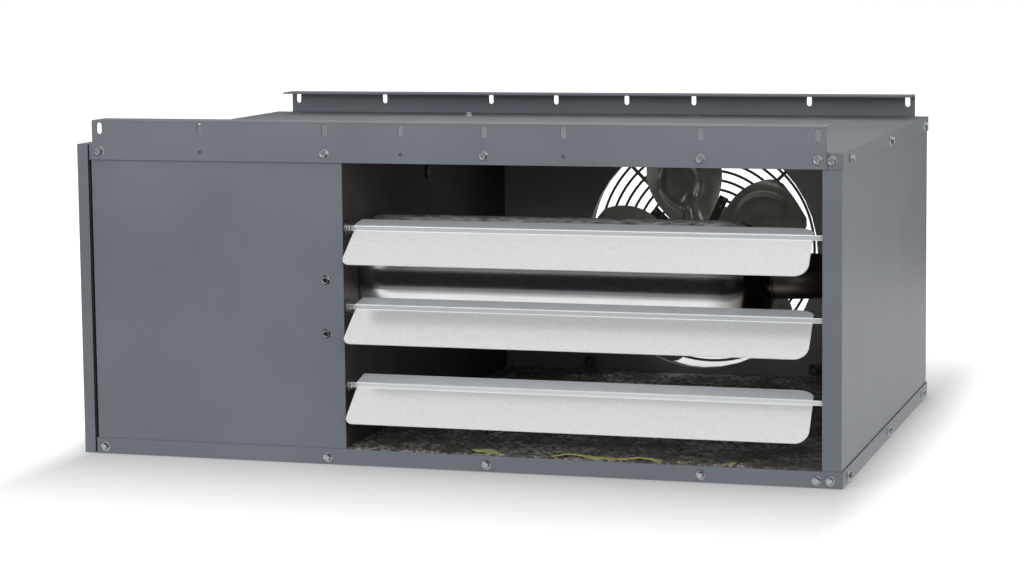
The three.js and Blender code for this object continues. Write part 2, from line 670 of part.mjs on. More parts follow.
// A ceiling bracket: a slotted plate on the case's face and a flange over the case. side is -1 in front, 1 behind.
function ceilingBracket(side) {
  const left = LEFT + BRACKET_LEFT_INSET;
  const right = RIGHT - BRACKET_RIGHT_INSET;
  const near = side * (DEPTH / 2 + SEAT_GAP);
  const far = near + side * BRACKET_SHEET;
  const tip = far - side * BRACKET_FLANGE;
  const slotZ = BRACKET_TOP - SLOT_BELOW_TOP;
  const holeZ = BRACKET_LOW + BRACKET_HOLE_ABOVE;
  const spot = (share) => mix(left + SLOT_FROM_END, right - SLOT_FROM_END, share);
  const slots = SLOT_SHARES.map((share) => obround(spot(share), slotZ, SLOT_WIDTH, SLOT_HEIGHT));
  const spares = SPARE_HOLE_SHARES.map((share) => circle(spot(share), holeZ, SCREW_HOLE_R, SLOT_ROUND));
  const face = rectangle(left, right, BRACKET_LOW, BRACKET_TOP);
  const plate = prism(face, "y", Math.min(near, far), Math.max(near, far), [...slots, ...spares]);
  const top = slab(left, right, Math.min(tip, far), Math.max(tip, far), BRACKET_TOP - BRACKET_SHEET, BRACKET_TOP);
  return plate.add(top);
}

function buildCase() {
  add("top_panel", tray(HEIGHT, HEIGHT - TRAY_FLANGE).subtract(screwHole()), "paint");
  add("bottom_panel", tray(0, TRAY_FLANGE), "paint");
  add("right_side_panel", rightSidePanel(), "paint");
  add("front_cover", frontCover(), "paint");
  add("partition_wall", partitionWall(), "blackSteel");
  add("fan_panel", fanPanel(), "blackSteel");
  add("control_rear_panel", controlRearPanel(), "paint");
  add("side_access_door", sideAccessDoor(), "paint");
  add("door_gasket", doorGasket(), "foam");
  add("front_bracket", ceilingBracket(-1), "paint");
  add("rear_bracket", ceilingBracket(1), "paint");
  add("flange_screw", flangeScrew(), "zinc");
}

function buildInsulation() {
  const left = PARTITION_RIGHT + SEAT_GAP;
  const right = INNER_RIGHT - SEAT_GAP;
  const front = PANEL_FRONT + LIP + PAD_EDGE;
  const back = INNER_BACK - SHEET - PAD_EDGE;
  const low = SHEET + SEAT_GAP;
  const floor = slab(left, right, front, back, low, low + FLOOR_PAD);
  // The floor pad runs on to the front flange between the partition and the stile's lip.
  const apron = slab(left, STILE_EDGE - SEAT_GAP, PANEL_FRONT + PAD_EDGE / 2, front, low, low + FLOOR_PAD);
  add("floor_insulation", floor.add(apron), "foil");
  const high = HEIGHT - SHEET - SEAT_GAP;
  add("roof_insulation", slab(left, right, front, back, high - ROOF_PAD, high), "foil");
}

// ---- Louvers ------------------------------------------------------------------------------------

const BLADE_LEFT = PARTITION_RIGHT + LOUVER_LEFT_GAP;
const BLADE_RIGHT = STILE_EDGE - LOUVER_RIGHT_GAP;

// The blade's section about its pivot, from the upper facet's back edge to the lower facet's front edge.
function louverLine() {
  const half = STRIP_HEIGHT / 2;
  return [
    new THREE.Vector2(UPPER_FACET[0], half + UPPER_FACET[1]),
    new THREE.Vector2(0, half),
    new THREE.Vector2(0, -half),
    new THREE.Vector2(LOWER_FACET[0], LOWER_FACET[1] - half),
  ];
}

// The blade's outline seen from the front, with round lower corners.
function louverFace() {
  const high = UPPER_FACET[1] + STRIP_HEIGHT;
  const low = LOWER_FACET[1] - STRIP_HEIGHT / 2 - LOUVER_SHEET / 2;
  const shape = new THREE.Shape();
  shape.moveTo(BLADE_LEFT, high);
  shape.lineTo(BLADE_LEFT, low + BLADE_LEFT_R);
  shape.absarc(BLADE_LEFT + BLADE_LEFT_R, low + BLADE_LEFT_R, BLADE_LEFT_R, Math.PI, 1.5 * Math.PI, false);
  shape.lineTo(BLADE_RIGHT - BLADE_RIGHT_R, low);
  shape.absarc(BLADE_RIGHT - BLADE_RIGHT_R, low + BLADE_RIGHT_R, BLADE_RIGHT_R, 1.5 * Math.PI, 2 * Math.PI, false);
  shape.lineTo(BLADE_RIGHT, high);
  return shape.getPoints(SMALL_ROUND / 2);
}

// The blade's outline seen from above: the upper facet's right corner is round.
function louverPlan() {
  const back = UPPER_FACET[0] + LOUVER_SHEET;
  const front = LOWER_FACET[0] - LOUVER_SHEET;
  const shape = new THREE.Shape();
  shape.moveTo(BLADE_LEFT, front);
  shape.lineTo(BLADE_RIGHT, front);
  shape.lineTo(BLADE_RIGHT, back - FACET_RIGHT_R);
  shape.absarc(BLADE_RIGHT - FACET_RIGHT_R, back - FACET_RIGHT_R, FACET_RIGHT_R, 0, Math.PI / 2, false);
  shape.lineTo(BLADE_LEFT, back);
  return shape.getPoints(SMALL_ROUND / 2);
}

// The folded blade with a flat tab at each end, at the height of its upright strip.
function louver() {
  const section = prism(ribbon(louverLine(), LOUVER_SHEET), "x", LEFT, RIGHT);
  const reach = UPPER_FACET[0] - LOWER_FACET[0];
  const face = prism(louverFace(), "y", -reach, reach);
  const blade = section.intersect(face).intersect(prism(louverPlan(), "z", -reach, reach));
  const left = PARTITION_LEFT - TAB_THROUGH;
  const right = STILE_EDGE + SHEET + TAB_THROUGH;
  const half = STRIP_HEIGHT / 2;
  const strip = slab(left, right, -LOUVER_SHEET / 2, LOUVER_SHEET / 2, -half, half);
  return blade.add(strip);
}

// A conical coil from the partition to the blade, its ends straight and square to both.
function springPath() {
  const from = PARTITION_RIGHT + SEAT_GAP;
  const to = BLADE_LEFT - SEAT_GAP;
  const end = 2 * SPRING_WIRE_R;
  const steps = SPRING_TURNS * CURL_STEPS;
  const points = [];
  for (let i = 0; i <= steps; i++) {
    const angle = radians(SPRING_END_ANGLE) + (2 * Math.PI * i) / CURL_STEPS;
    const radius = mix(SPRING_BIG_R, SPRING_SMALL_R, i / steps);
    const along = mix(from + end, to - end, i / steps);
    points.push(new THREE.Vector3(along, radius * Math.cos(angle), radius * Math.sin(angle)));
  }
  const first = points[0].clone().setX(from);
  const last = points.at(-1).clone().setX(to);
  return [first, ...points, last];
}

// The least gap between two stretches of the wire that lie at least half a turn apart.
function leastSelfGap(points, radius) {
  let least = Infinity;
  for (let i = 0; i < points.length; i++) {
    for (let j = i + CURL_STEPS / 2; j < points.length; j++) {
      least = Math.min(least, points[i].distanceTo(points[j]) - 2 * radius);
    }
  }
  return least;
}

function buildLouvers() {
  const names = ["top", "middle", "bottom"];
  const path = springPath();
  console.log("louver spring, least gap to itself in mm:", leastSelfGap(path, SPRING_WIRE_R).toFixed(2));
  PIVOT_HEIGHTS.forEach((height, k) => {
    const turn = [LOUVER_SET[k], 0, 0];
    add("louver_" + names[k], louver().rotate(turn).translate([0, PIVOT_Y, height]), "galvanised");
    const spring = sweep(path, SPRING_WIRE_R, CURL_SIDES).rotate(turn);
    add("louver_spring_" + names[k], spring.translate([0, PIVOT_Y, height]), "zinc");
  });
}

// ---- Fan, guard and motor -----------------------------------------------------------------------

function guardBoltPlaces() {
  const places = [];
  for (const up of [1, -1]) {
    for (const right of [-1, 1]) {
      const spread = ORIFICE_R - GUARD_BOLT_INSET;
      places.push([FAN_X + right * spread, FAN_Z + up * spread]);
    }
  }
  return places;
}

// Half the blade's width at a share u of its length, full in the middle and rounded in at the tip.
function bladeHalfWidth(u) {
  const swell = Math.sin((Math.PI / 2) * Math.min(u / BLADE_WIDEST_AT, 1) ** BLADE_SWELL);
  const tip = Math.sqrt(Math.max(1 - u ** BLADE_CORNER, 0));
  return mix(BLADE_HALF_ROOT, BLADE_HALF_WIDE, swell) * mix(BLADE_TIP_SHARE, 1, tip);
}

function fanBlade(turn) {
  const tipR = ORIFICE_R - BLADE_TIP_GAP;
  const pitch = radians(BLADE_PITCH);
  const place = (u, v) => {
    const radius = mix(BLADE_ROOT_R, tipR, u);
    const across = v * bladeHalfWidth(u);
    const angle = turn + (across * Math.cos(pitch)) / radius;
    const along = across * Math.sin(pitch) - BLADE_CAMBER * (1 - v * v) * u;
    return new THREE.Vector3(radius * Math.cos(angle), along, radius * Math.sin(angle));
  };
  return curvedSheet(place, new THREE.Vector3(0, BLADE_SHEET, 0), BLADE_ROWS, BLADE_COLUMNS);
}

function fanWheel() {
  const blades = Array.from({ length: BLADE_COUNT }, (_, k) =>
    fanBlade(radians(FIRST_BLADE) + (2 * Math.PI * k) / BLADE_COUNT),
  );
  const half = HUB_LENGTH / 2;
  const disc = turned(
    [
      [SHAFT_R + 1, -HUB_DISC_MIDDLE / 2],
      [HUB_DISC_R, -HUB_DISC_EDGE / 2],
      [HUB_DISC_R, HUB_DISC_EDGE / 2],
      [SHAFT_R + 1, HUB_DISC_MIDDLE / 2],
    ],
    "y",
    0,
    0,
    ROUND,
  );
  const boss = rod("y", 0, 0, HUB_R / 2, -half, half, ROUND);
  const bore = rod("y", 0, 0, SHAFT_R + SEAT_GAP, -HUB_LENGTH, HUB_LENGTH);
  return joined([disc, boss, ...blades]).subtract(bore);
}

const GUARD_Y = BACK + GUARD_STANDOFF;
const GUARD_OUTER_R = ORIFICE_R + GUARD_PAST_ORIFICE;
const GUARD_INNER_R = GUARD_OUTER_R - (GUARD_RING_COUNT - 1) * GUARD_PITCH;
const EYE_FRONT = PANEL_BACK + SEAT_GAP;
const ARM_INNER_R = MOTOR_R + ARM_PAST_MOTOR;

// A wire arm from the motor out over the guard's rings and down to its eye on the panel.
function guardArm(dx, dz) {
  const reach = Math.hypot(dx, dz);
  const spot = (radius, y) => new THREE.Vector3((dx / reach) * radius, y, (dz / reach) * radius);
  return sweep(
    [
      spot(ARM_INNER_R, GUARD_Y),
      spot(GUARD_OUTER_R + GUARD_PITCH, GUARD_Y),
      spot(reach - 2 * GUARD_EYE_R, EYE_FRONT + ARM_WIRE_R),
      spot(reach - GUARD_EYE_R / 2 - ARM_WIRE_R, EYE_FRONT + ARM_WIRE_R),
    ],
    ARM_WIRE_R,
    ARM_SIDES,
  );
}

function fanGuard() {
  const pieces = [];
  for (let k = 0; k < GUARD_RING_COUNT; k++) {
    const radius = GUARD_INNER_R + k * GUARD_PITCH;
    const ring = new THREE.TorusGeometry(radius, GUARD_WIRE_R, RING_WIRE_SIDES, ROUND);
    pieces.push(solid(ring.rotateX(Math.PI / 2).translate(0, GUARD_Y + ARM_WIRE_R, 0)));
  }
  const eyes = [];
  const holes = [];
  for (const [x, z] of guardBoltPlaces()) {
    const dx = x - FAN_X;
    const dz = z - FAN_Z;
    pieces.push(guardArm(dx, dz));
    eyes.push(rod("y", dx, dz, GUARD_EYE_R, EYE_FRONT, EYE_FRONT + GUARD_EYE_THICK));
    holes.push(rod("y", dx, dz, BOLT_R + BOLT_CLEARANCE, FRONT, LONG_CUT, NUT_SIDES));
  }
  return cutBy(joined([...pieces, ...eyes]), holes).translate([FAN_X, 0, FAN_Z]);
}

function guardBolt() {
  const headFrom = PANEL_BACK + 2 * SEAT_GAP + GUARD_EYE_THICK;
  const inner = PANEL_BACK - SHEET - SEAT_GAP - NUT_THICK - NUT_COLLAR - BOLT_THREAD_PAST_NUT;
  const head = rod("y", 0, 0, BOLT_HEAD_R, headFrom, headFrom + BOLT_HEAD_THICK, HEX);
  return head.add(rod("y", 0, 0, BOLT_R, inner, headFrom + BOLT_HEAD_THICK / 2, NUT_SIDES));
}

function guardNut() {
  const back = PANEL_BACK - SHEET - SEAT_GAP;
  const half = NUT_WIDTH / 2;
  const square = prism(rectangle(-half, half, -half, half), "y", back - NUT_THICK, back);
  const collar = rod("y", 0, 0, NUT_COLLAR_R, back - NUT_THICK - NUT_COLLAR, back - NUT_THICK / 2, NUT_SIDES);
  const bore = rod("y", 0, 0, BOLT_R + SEAT_GAP, back - LONG_CUT, back + SHEET, NUT_SIDES);
  return square.add(collar).subtract(bore);
}

const MOTOR_PLATE_BACK = GUARD_Y - ARM_WIRE_R - SEAT_GAP;
const MOTOR_FRONT = MOTOR_PLATE_BACK + SEAT_GAP;

function motorPlate() {
  const front = MOTOR_PLATE_BACK - MOTOR_PLATE_THICK;
  return pipe("y", FAN_X, FAN_Z, MOTOR_PLATE_R, SHAFT_R + MOTOR_PLATE_BORE, front, MOTOR_PLATE_BACK);
}

function fanMotor() {
  const back = MOTOR_FRONT + MOTOR_LENGTH;
  const body = turned(
    [
      [0, MOTOR_FRONT],
      [MOTOR_BELL_R, MOTOR_FRONT],
      [MOTOR_R, MOTOR_FRONT + MOTOR_BELL],
      [MOTOR_R, back - MOTOR_BELL],
      [MOTOR_BELL_R, back],
      [0, back],
    ],
    "y",
    FAN_X,
    FAN_Z,
  );
  const bearing = rod("y", FAN_X, FAN_Z, SHAFT_R + SHAFT_CLEARANCE, MOTOR_FRONT - 1, back - MOTOR_BELL);
  return body.subtract(bearing);
}

function fanShaft() {
  const from = FAN_Y - HUB_LENGTH / 2 - HUB_BEHIND_NOSE;
  const to = MOTOR_FRONT + MOTOR_LENGTH - 2 * MOTOR_BELL;
  return rod("y", FAN_X, FAN_Z, SHAFT_R, from, to);
}

function buildFan() {
  add("fan_wheel", fanWheel().translate([FAN_X, FAN_Y, FAN_Z]), "galvanised");
  add("fan_shaft", fanShaft(), "zinc");
  add("fan_motor", fanMotor(), "blackSteel");
  add("motor_plate", motorPlate(), "zinc");
  add("fan_guard", fanGuard(), "blackSteel");
  guardBoltPlaces().forEach(([x, z], k) => {
    add("guard_bolt_" + (k + 1), guardBolt().translate([x, 0, z]), "zinc");
    add("guard_nut_" + (k + 1), guardNut().translate([x, 0, z]), "zinc");
  });
}

// ---- Heat exchanger -----------------------------------------------------------------------------

const DRUM_LEFT = PARTITION_RIGHT + SEAT_GAP;
const NECK_END = DRUM_END_X + DRUM_SHOULDER + RETURN_NECK;

// The shoulder's quarter ellipse, from the drum's radius in to the neck's.
function shoulder(inset) {
  return Array.from({ length: SHOULDER_STEPS + 1 }, (_, i) => {
    const angle = (Math.PI / 2) * (i / SHOULDER_STEPS);
    const rise = DRUM_R - RETURN_TUBE_R;
    const radius = RETURN_TUBE_R - inset + rise * Math.cos(angle);
    return [radius, DRUM_END_X + (DRUM_SHOULDER - inset) * Math.sin(angle)];
  });
}

function combustionDrum() {
  const outside = [[DRUM_PORT_R, DRUM_LEFT], [DRUM_R, DRUM_LEFT], ...shoulder(0), [RETURN_TUBE_R, NECK_END]];
  const inside = [
    [RETURN_TUBE_R - DRUM_SHEET, NECK_END],
    ...shoulder(DRUM_SHEET).reverse(),
    [DRUM_R - DRUM_SHEET, DRUM_LEFT + DRUM_SHEET],
    [DRUM_PORT_R, DRUM_LEFT + DRUM_SHEET],
  ];
  return turned([...outside, ...inside], "x", DRUM_Y, DRUM_Z);
}

// The tube leaves the neck, turns back in a half circle and runs to the inducer behind the drum.
const TUBE_START = NECK_END + SEAT_GAP;
const BEND_X = TUBE_START + TUBE_STRAIGHT;
const BEND_Y = DRUM_Y + RETURN_BEND_R;

function returnTube() {
  const start = new THREE.Vector3(TUBE_START, DRUM_Y, DRUM_Z);
  const end = new THREE.Vector3(INDUCER_RIGHT + SEAT_GAP, RETURN_Y, DRUM_Z);
  const bend = Array.from({ length: BEND_STEPS + 1 }, (_, i) => {
    const angle = Math.PI * (i / BEND_STEPS - 0.5);
    const x = BEND_X + RETURN_BEND_R * Math.cos(angle);
    return new THREE.Vector3(x, BEND_Y + RETURN_BEND_R * Math.sin(angle), DRUM_Z);
  });
  const past = X.clone().negate();
  const bore = [start.clone().add(past), ...bend, end.clone().add(past)];
  const tube = sweep([start, ...bend, end], RETURN_TUBE_R, TUBE_SIDES);
  return tube.subtract(sweep(bore, RETURN_TUBE_R - DRUM_SHEET, TUBE_SIDES));
}

// An angle on the right side panel whose shelf carries the bend.
function tubeHanger() {
  const wall = INNER_RIGHT - SEAT_GAP;
  const top = DRUM_Z - RETURN_TUBE_R - SEAT_GAP;
  const half = HANGER_WIDTH / 2;
  const left = BEND_X + RETURN_BEND_R - half;
  const shelf = slab(left, wall, BEND_Y - half, BEND_Y + half, top - SHEET, top);
  const plate = slab(wall - SHEET, wall, BEND_Y - half, BEND_Y + half, top - HANGER_RISE, top);
  return shelf.add(plate);
}

function buildHeatExchanger() {
  add("combustion_drum", combustionDrum(), "aluminised");
  add("return_tube", returnTube(), "aluminised");
  add("tube_hanger", tubeHanger(), "galvanised");
}

// ---- Burner and gas train -----------------------------------------------------------------------

function burnerTube() {
  const throat = BURNER_LEFT + BURNER_LENGTH * THROAT_SHARE;
  const outside = [
    [BURNER_R, BURNER_RIGHT],
    [BURNER_R, BURNER_PLATE_LEFT - 2 * SEAT_GAP],
    [BURNER_R, throat + BURNER_R],
    [BURNER_THROAT_R + BURNER_SHEET, throat],
    [BURNER_R, BURNER_LEFT],
  ];
  const inside = outside.map(([radius, along]) => [radius - BURNER_SHEET, along]).reverse();
  return turned([...outside, ...inside], "x", DRUM_Y, DRUM_Z, MIDDLE_ROUND);
}

function burnerPlate() {
  const half = BURNER_PLATE_SIZE / 2;
  const outline = rectangle(DRUM_Y - half, DRUM_Y + half, DRUM_Z - half, DRUM_Z + half);
  const holes = [circle(DRUM_Y, DRUM_Z, BURNER_R + SEAT_GAP, MIDDLE_ROUND)];
  for (const angle of PROBE_ANGLES) {
    const [y, z] = probePlace(angle);
    holes.push(circle(y, z, PROBE_R + SEAT_GAP, SMALL_ROUND));
  }
  return prism(outline, "x", BURNER_PLATE_LEFT, WALL_FACE, holes);
}

function probePlace(angle) {
  return [
    DRUM_Y + PROBE_RADIUS_FROM_AXIS * Math.cos(radians(angle)),
    DRUM_Z + PROBE_RADIUS_FROM_AXIS * Math.sin(radians(angle)),
  ];
}

// A ceramic-sleeved electrode that reaches through the burner plate.
function probe(angle) {
  const shoulderX = BURNER_PLATE_LEFT - SEAT_GAP;
  return turned(
    [
      [0, shoulderX - PROBE_CERAMIC],
      [PROBE_CERAMIC_R, shoulderX - PROBE_CERAMIC],
      [PROBE_CERAMIC_R, shoulderX],
      [PROBE_R, shoulderX],
      [PROBE_R, shoulderX + PROBE_LENGTH],
      [0, shoulderX + PROBE_LENGTH],
    ],
    "x",
    ...probePlace(angle),
    SMALL_ROUND,
  );
}

function gasValve() {
  const [, deep, high] = VALVE_SIZE;
  const low = DRUM_Z - high / 2;
  const body = slab(VALVE_LEFT, VALVE_RIGHT, DRUM_Y - deep / 2, VALVE_BACK, low, low + high);
  const middle = (VALVE_LEFT + VALVE_RIGHT) / 2;
  const top = low + high;
  const [coilLeft, coilRight] = [middle - COIL_HALF, middle + COIL_HALF];
  const [coilFront, coilBack] = [DRUM_Y - COIL_HALF, DRUM_Y + COIL_HALF];
  const coil = slab(coilLeft, coilRight, coilFront, coilBack, top - WELD, top + COIL_HEIGHT);
  const inletEnd = VALVE_BACK + HEX_LENGTH;
  const outletEnd = VALVE_RIGHT + HEX_LENGTH;
  const inlet = rod("y", PIPE_X, DRUM_Z, PIPE_R + HEX_MARGIN, VALVE_BACK - WELD, inletEnd, HEX);
  const outlet = rod("x", DRUM_Y, DRUM_Z, PIPE_R + HEX_MARGIN, VALVE_RIGHT - WELD, outletEnd, HEX);
  const pocket = rod("y", PIPE_X, DRUM_Z, PIPE_R + SEAT_GAP, inletEnd - SOCKET_DEPTH, LONG_CUT, ROUND);
  const socketR = MANIFOLD_R + SEAT_GAP;
  const socket = rod("x", DRUM_Y, DRUM_Z, socketR, outletEnd - SOCKET_DEPTH, LONG_CUT, SMALL_ROUND);
  return joined([body, coil, inlet, outlet]).subtract(pocket).subtract(socket);
}

// The knob's outline has shallow grips all round.
function valveKnob() {
  const from = VALVE_LEFT - SEAT_GAP - KNOB_LENGTH;
  const points = circle(0, 0, KNOB_R, 2 * KNOB_GRIPS);
  const outline = points.map((p, i) => p.multiplyScalar(i % 2 ? KNOB_GRIP_SHARE : 1));
  const body = prism(outline, "x", from, VALVE_LEFT - SEAT_GAP);
  const [tall, half] = [KNOB_R * KNOB_BAR_SHARE, KNOB_BAR / 2];
  const bar = slab(from - KNOB_BAR_RISE, from + WELD, -half, half, -tall, tall);
  return body.add(bar).translate([0, DRUM_Y, DRUM_Z]);
}

const PIPE_START = VALVE_BACK + HEX_LENGTH - SOCKET_DEPTH + SEAT_GAP;

function gasPipe() {
  return pipe("y", PIPE_X, DRUM_Z, PIPE_R, PIPE_BORE_R, PIPE_START, BACK + PIPE_OUT, MIDDLE_ROUND);
}

// A short pipe from the valve to the orifice at the burner's mouth.
function gasManifold() {
  const from = VALVE_RIGHT + HEX_LENGTH - SOCKET_DEPTH + SEAT_GAP;
  const nose = BURNER_LEFT - ORIFICE_TO_BURNER;
  return turned(
    [
      [MANIFOLD_BORE_R, from],
      [MANIFOLD_R, from],
      [MANIFOLD_R, nose - ORIFICE_LENGTH],
      [ORIFICE_TIP_R, nose],
      [ORIFICE_BORE_R, nose],
      [ORIFICE_BORE_R, nose - ORIFICE_DEPTH],
      [MANIFOLD_BORE_R, nose - ORIFICE_LENGTH],
    ],
    "x",
    DRUM_Y,
    DRUM_Z,
    SMALL_ROUND,
  );
}

// A folded strap from the burner plate that holds the manifold in line with the burner.
function manifoldBracket() {
  const half = STRAP_WIDTH / 2;
  const [front, back] = [DRUM_Y - half, DRUM_Y + half];
  const x0 = VALVE_RIGHT + STRAP_FROM_VALVE;
  const footX = BURNER_PLATE_LEFT - SEAT_GAP;
  const top = DRUM_Z + STRAP_RISE;
  const low = DRUM_Z - MANIFOLD_R - STRAP_DROP;
  const upright = slab(x0, x0 + SHEET, front, back, low, top);
  const bridge = slab(x0, footX, front, back, top - SHEET, top);
  const foot = slab(footX - SHEET, footX, front, back, top - WELD, top + STRAP_LIP);
  const hole = rod("x", DRUM_Y, DRUM_Z, MANIFOLD_R + SEAT_GAP, x0 - STRAP_DROP, x0 + STRAP_DROP);
  return joined([upright, bridge, foot]).subtract(hole);
}

function buildBurner() {
  add("burner_tube", burnerTube(), "aluminised");
  add("burner_plate", burnerPlate(), "galvanised");
  add("spark_igniter", probe(PROBE_ANGLES[0]), "paleCeramic");
  add("flame_sensor", probe(PROBE_ANGLES[1]), "paleCeramic");
  add("gas_manifold", gasManifold(), "brass");
  add("manifold_bracket", manifoldBracket(), "galvanised");
  add("gas_valve", gasValve(), "castAluminium");
  add("valve_knob", valveKnob(), "darkPlastic");
  add("gas_pipe", gasPipe(), "blackSteel");
}

// ---- Draft inducer and flue ---------------------------------------------------------------------

// A drum-shaped blower housing whose outlet leaves towards the back.
function inducerShell(inset, reach) {
  const left = INDUCER_LEFT + inset;
  const right = INDUCER_RIGHT - inset;
  const round = rod("x", RETURN_Y, DRUM_Z, INDUCER_R - inset, left, right, ROUND);
  const top = DRUM_Z + (INDUCER_R - inset) * Math.cos(Math.PI / ROUND);
  const low = DRUM_Z + INDUCER_R - INDUCER_OUT_HEIGHT + inset;
  return round.add(slab(left, right, RETURN_Y, INDUCER_OUT_Y - reach, low, top));
}

function inducerHousing() {
  const inletAt = [RETURN_Y, DRUM_Z];
  const [from, to] = [INDUCER_LEFT - WELD, INDUCER_LEFT + BORE_REACH];
  const outFrom = INDUCER_OUT_Y - BORE_REACH;
  return cutBy(inducerShell(0, 0), [
    inducerShell(INDUCER_SHEET, INDUCER_SHEET),
    rod("x", ...inletAt, RETURN_TUBE_R - DRUM_SHEET, INDUCER_RIGHT - BORE_REACH, INDUCER_RIGHT + WELD, ROUND),
    rod("x", ...inletAt, SHAFT_R + SHAFT_CLEARANCE, from, to),
    rod("y", FLUE_X, FLUE_Z, INDUCER_OUTLET_R - FLUE_SHEET, outFrom, outFrom + BORE_REACH + WELD, ROUND),
  ]);
}

function inducerWheel() {
  const right = INDUCER_RIGHT - INDUCER_WHEEL_GAP;
  const left = right - INDUCER_WHEEL_WIDTH;
  const innerR = INDUCER_WHEEL_R - INDUCER_VANE_DEPTH;
  const half = INDUCER_VANE_SHEET / 2;
  const back = rod("x", 0, 0, INDUCER_WHEEL_R, left, left + INDUCER_DISC, WHEEL_SIDES);
  const ring = pipe("x", 0, 0, INDUCER_WHEEL_R, innerR, right - INDUCER_DISC, right, WHEEL_SIDES);
  const hub = rod("x", 0, 0, INDUCER_HUB_R, left - INDUCER_HUB, left + WELD);
  const bore = rod("x", 0, 0, SHAFT_R + SEAT_GAP, left - INDUCER_HUB - WELD, right);
  const vanes = Array.from({ length: INDUCER_VANES }, (_, k) => {
    const vane = slab(left + WELD, right - WELD, innerR + WELD, INDUCER_WHEEL_R - WELD, -half, half);
    return vane.rotate([(360 * k) / INDUCER_VANES, 0, 0]);
  });
  return joined([back, ring, hub, ...vanes]).subtract(bore).translate([0, RETURN_Y, DRUM_Z]);
}

function inducerShaft() {
  const to = INDUCER_RIGHT - INDUCER_WHEEL_GAP - INDUCER_WHEEL_WIDTH + WELD;
  const from = INDUCER_LEFT - SEAT_GAP - INDUCER_MOTOR_LENGTH / 2;
  return rod("x", RETURN_Y, DRUM_Z, SHAFT_R, from, to);
}

function inducerMotor() {
  const right = INDUCER_LEFT - SEAT_GAP;
  const left = right - INDUCER_MOTOR_LENGTH;
  const body = turned(
    [
      [0, left],
      [INDUCER_MOTOR_R - INDUCER_BELL, left],
      [INDUCER_MOTOR_R, left + INDUCER_BELL],
      [INDUCER_MOTOR_R, right],
      [0, right],
    ],
    "x",
    RETURN_Y,
    DRUM_Z,
  );
  const bearing = rod("x", RETURN_Y, DRUM_Z, SHAFT_R + SHAFT_CLEARANCE, left + INDUCER_BELL, right + WELD);
  return body.subtract(bearing);
}

function flueTransition() {
  const from = INDUCER_OUT_Y + SEAT_GAP;
  const to = from + FLUE_CONE;
  return turned(
    [
      [INDUCER_OUTLET_R, from],
      [FLUE_R, to],
      [FLUE_R - FLUE_SHEET, to],
      [INDUCER_OUTLET_R - FLUE_SHEET, from],
    ],
    "y",
    FLUE_X,
    FLUE_Z,
  );
}

function flueTube() {
  const from = INDUCER_OUT_Y + SEAT_GAP + FLUE_CONE + SEAT_GAP;
  return pipe("y", FLUE_X, FLUE_Z, FLUE_R, FLUE_R - FLUE_SHEET, from, BACK + FLUE_OUT);
}

function flueCollar() {
  const from = PANEL_BACK + SEAT_GAP;
  return pipe("y", FLUE_X, FLUE_Z, FLUE_COLLAR_R, FLUE_R + SEAT_GAP, from, from + FLUE_COLLAR_THICK);
}

function switchPlace() {
  return [BACK - SWITCH_PLACE[0], HEIGHT - SWITCH_PLACE[1]];
}

function limitPlace() {
  return [BACK - LIMIT_PLACE[0], HEIGHT - LIMIT_PLACE[1]];
}

// A diaphragm switch with one hose nipple, on the partition.
function pressureSwitch() {
  const [y, z] = switchPlace();
  const left = WALL_FACE - SWITCH_THICK;
  const body = rod("x", y, z, SWITCH_R, left, WALL_FACE, ROUND);
  const nipple = rod("x", y, z, HOSE_R, left - NIPPLE, left + WELD, SLOT_ROUND);
  return body.add(nipple);
}

// A soft tube from the inducer housing up to the switch.
function sensingHose() {
  const [y, z] = switchPlace();
  const start = new THREE.Vector3(FLUE_X, RETURN_Y, DRUM_Z + INDUCER_R + SEAT_GAP);
  const end = new THREE.Vector3(WALL_FACE - SWITCH_THICK - NIPPLE - SEAT_GAP, y, z);
  const path = new THREE.CatmullRomCurve3([
    start.clone().addScaledVector(Z, HOSE_STRAIGHT),
    new THREE.Vector3(mix(start.x, end.x, HOSE_TURN), mix(start.y, y, HOSE_TURN), z + HOSE_ARCH),
    new THREE.Vector3(end.x - HOSE_ARCH, y - 2 * HOSE_ARCH, z + HOSE_ARCH / 2),
    end.clone().addScaledVector(X, -HOSE_STRAIGHT),
  ]);
  return sweep([start, ...path.getSpacedPoints(HOSE_STEPS), end], HOSE_R, HEX);
}

function buildInducer() {
  add("inducer_housing", inducerHousing(), "galvanised");
  add("inducer_wheel", inducerWheel(), "galvanised");
  add("inducer_shaft", inducerShaft(), "zinc");
  add("inducer_motor", inducerMotor(), "blackSteel");
  add("flue_transition", flueTransition(), "galvanised");
  add("flue_tube", flueTube(), "galvanised");
  add("flue_collar", flueCollar(), "galvanised");
  add("pressure_switch", pressureSwitch(), "darkPlastic");
  add("sensing_hose", sensingHose(), "silicone");
}

// ---- Controls -----------------------------------------------------------------------------------

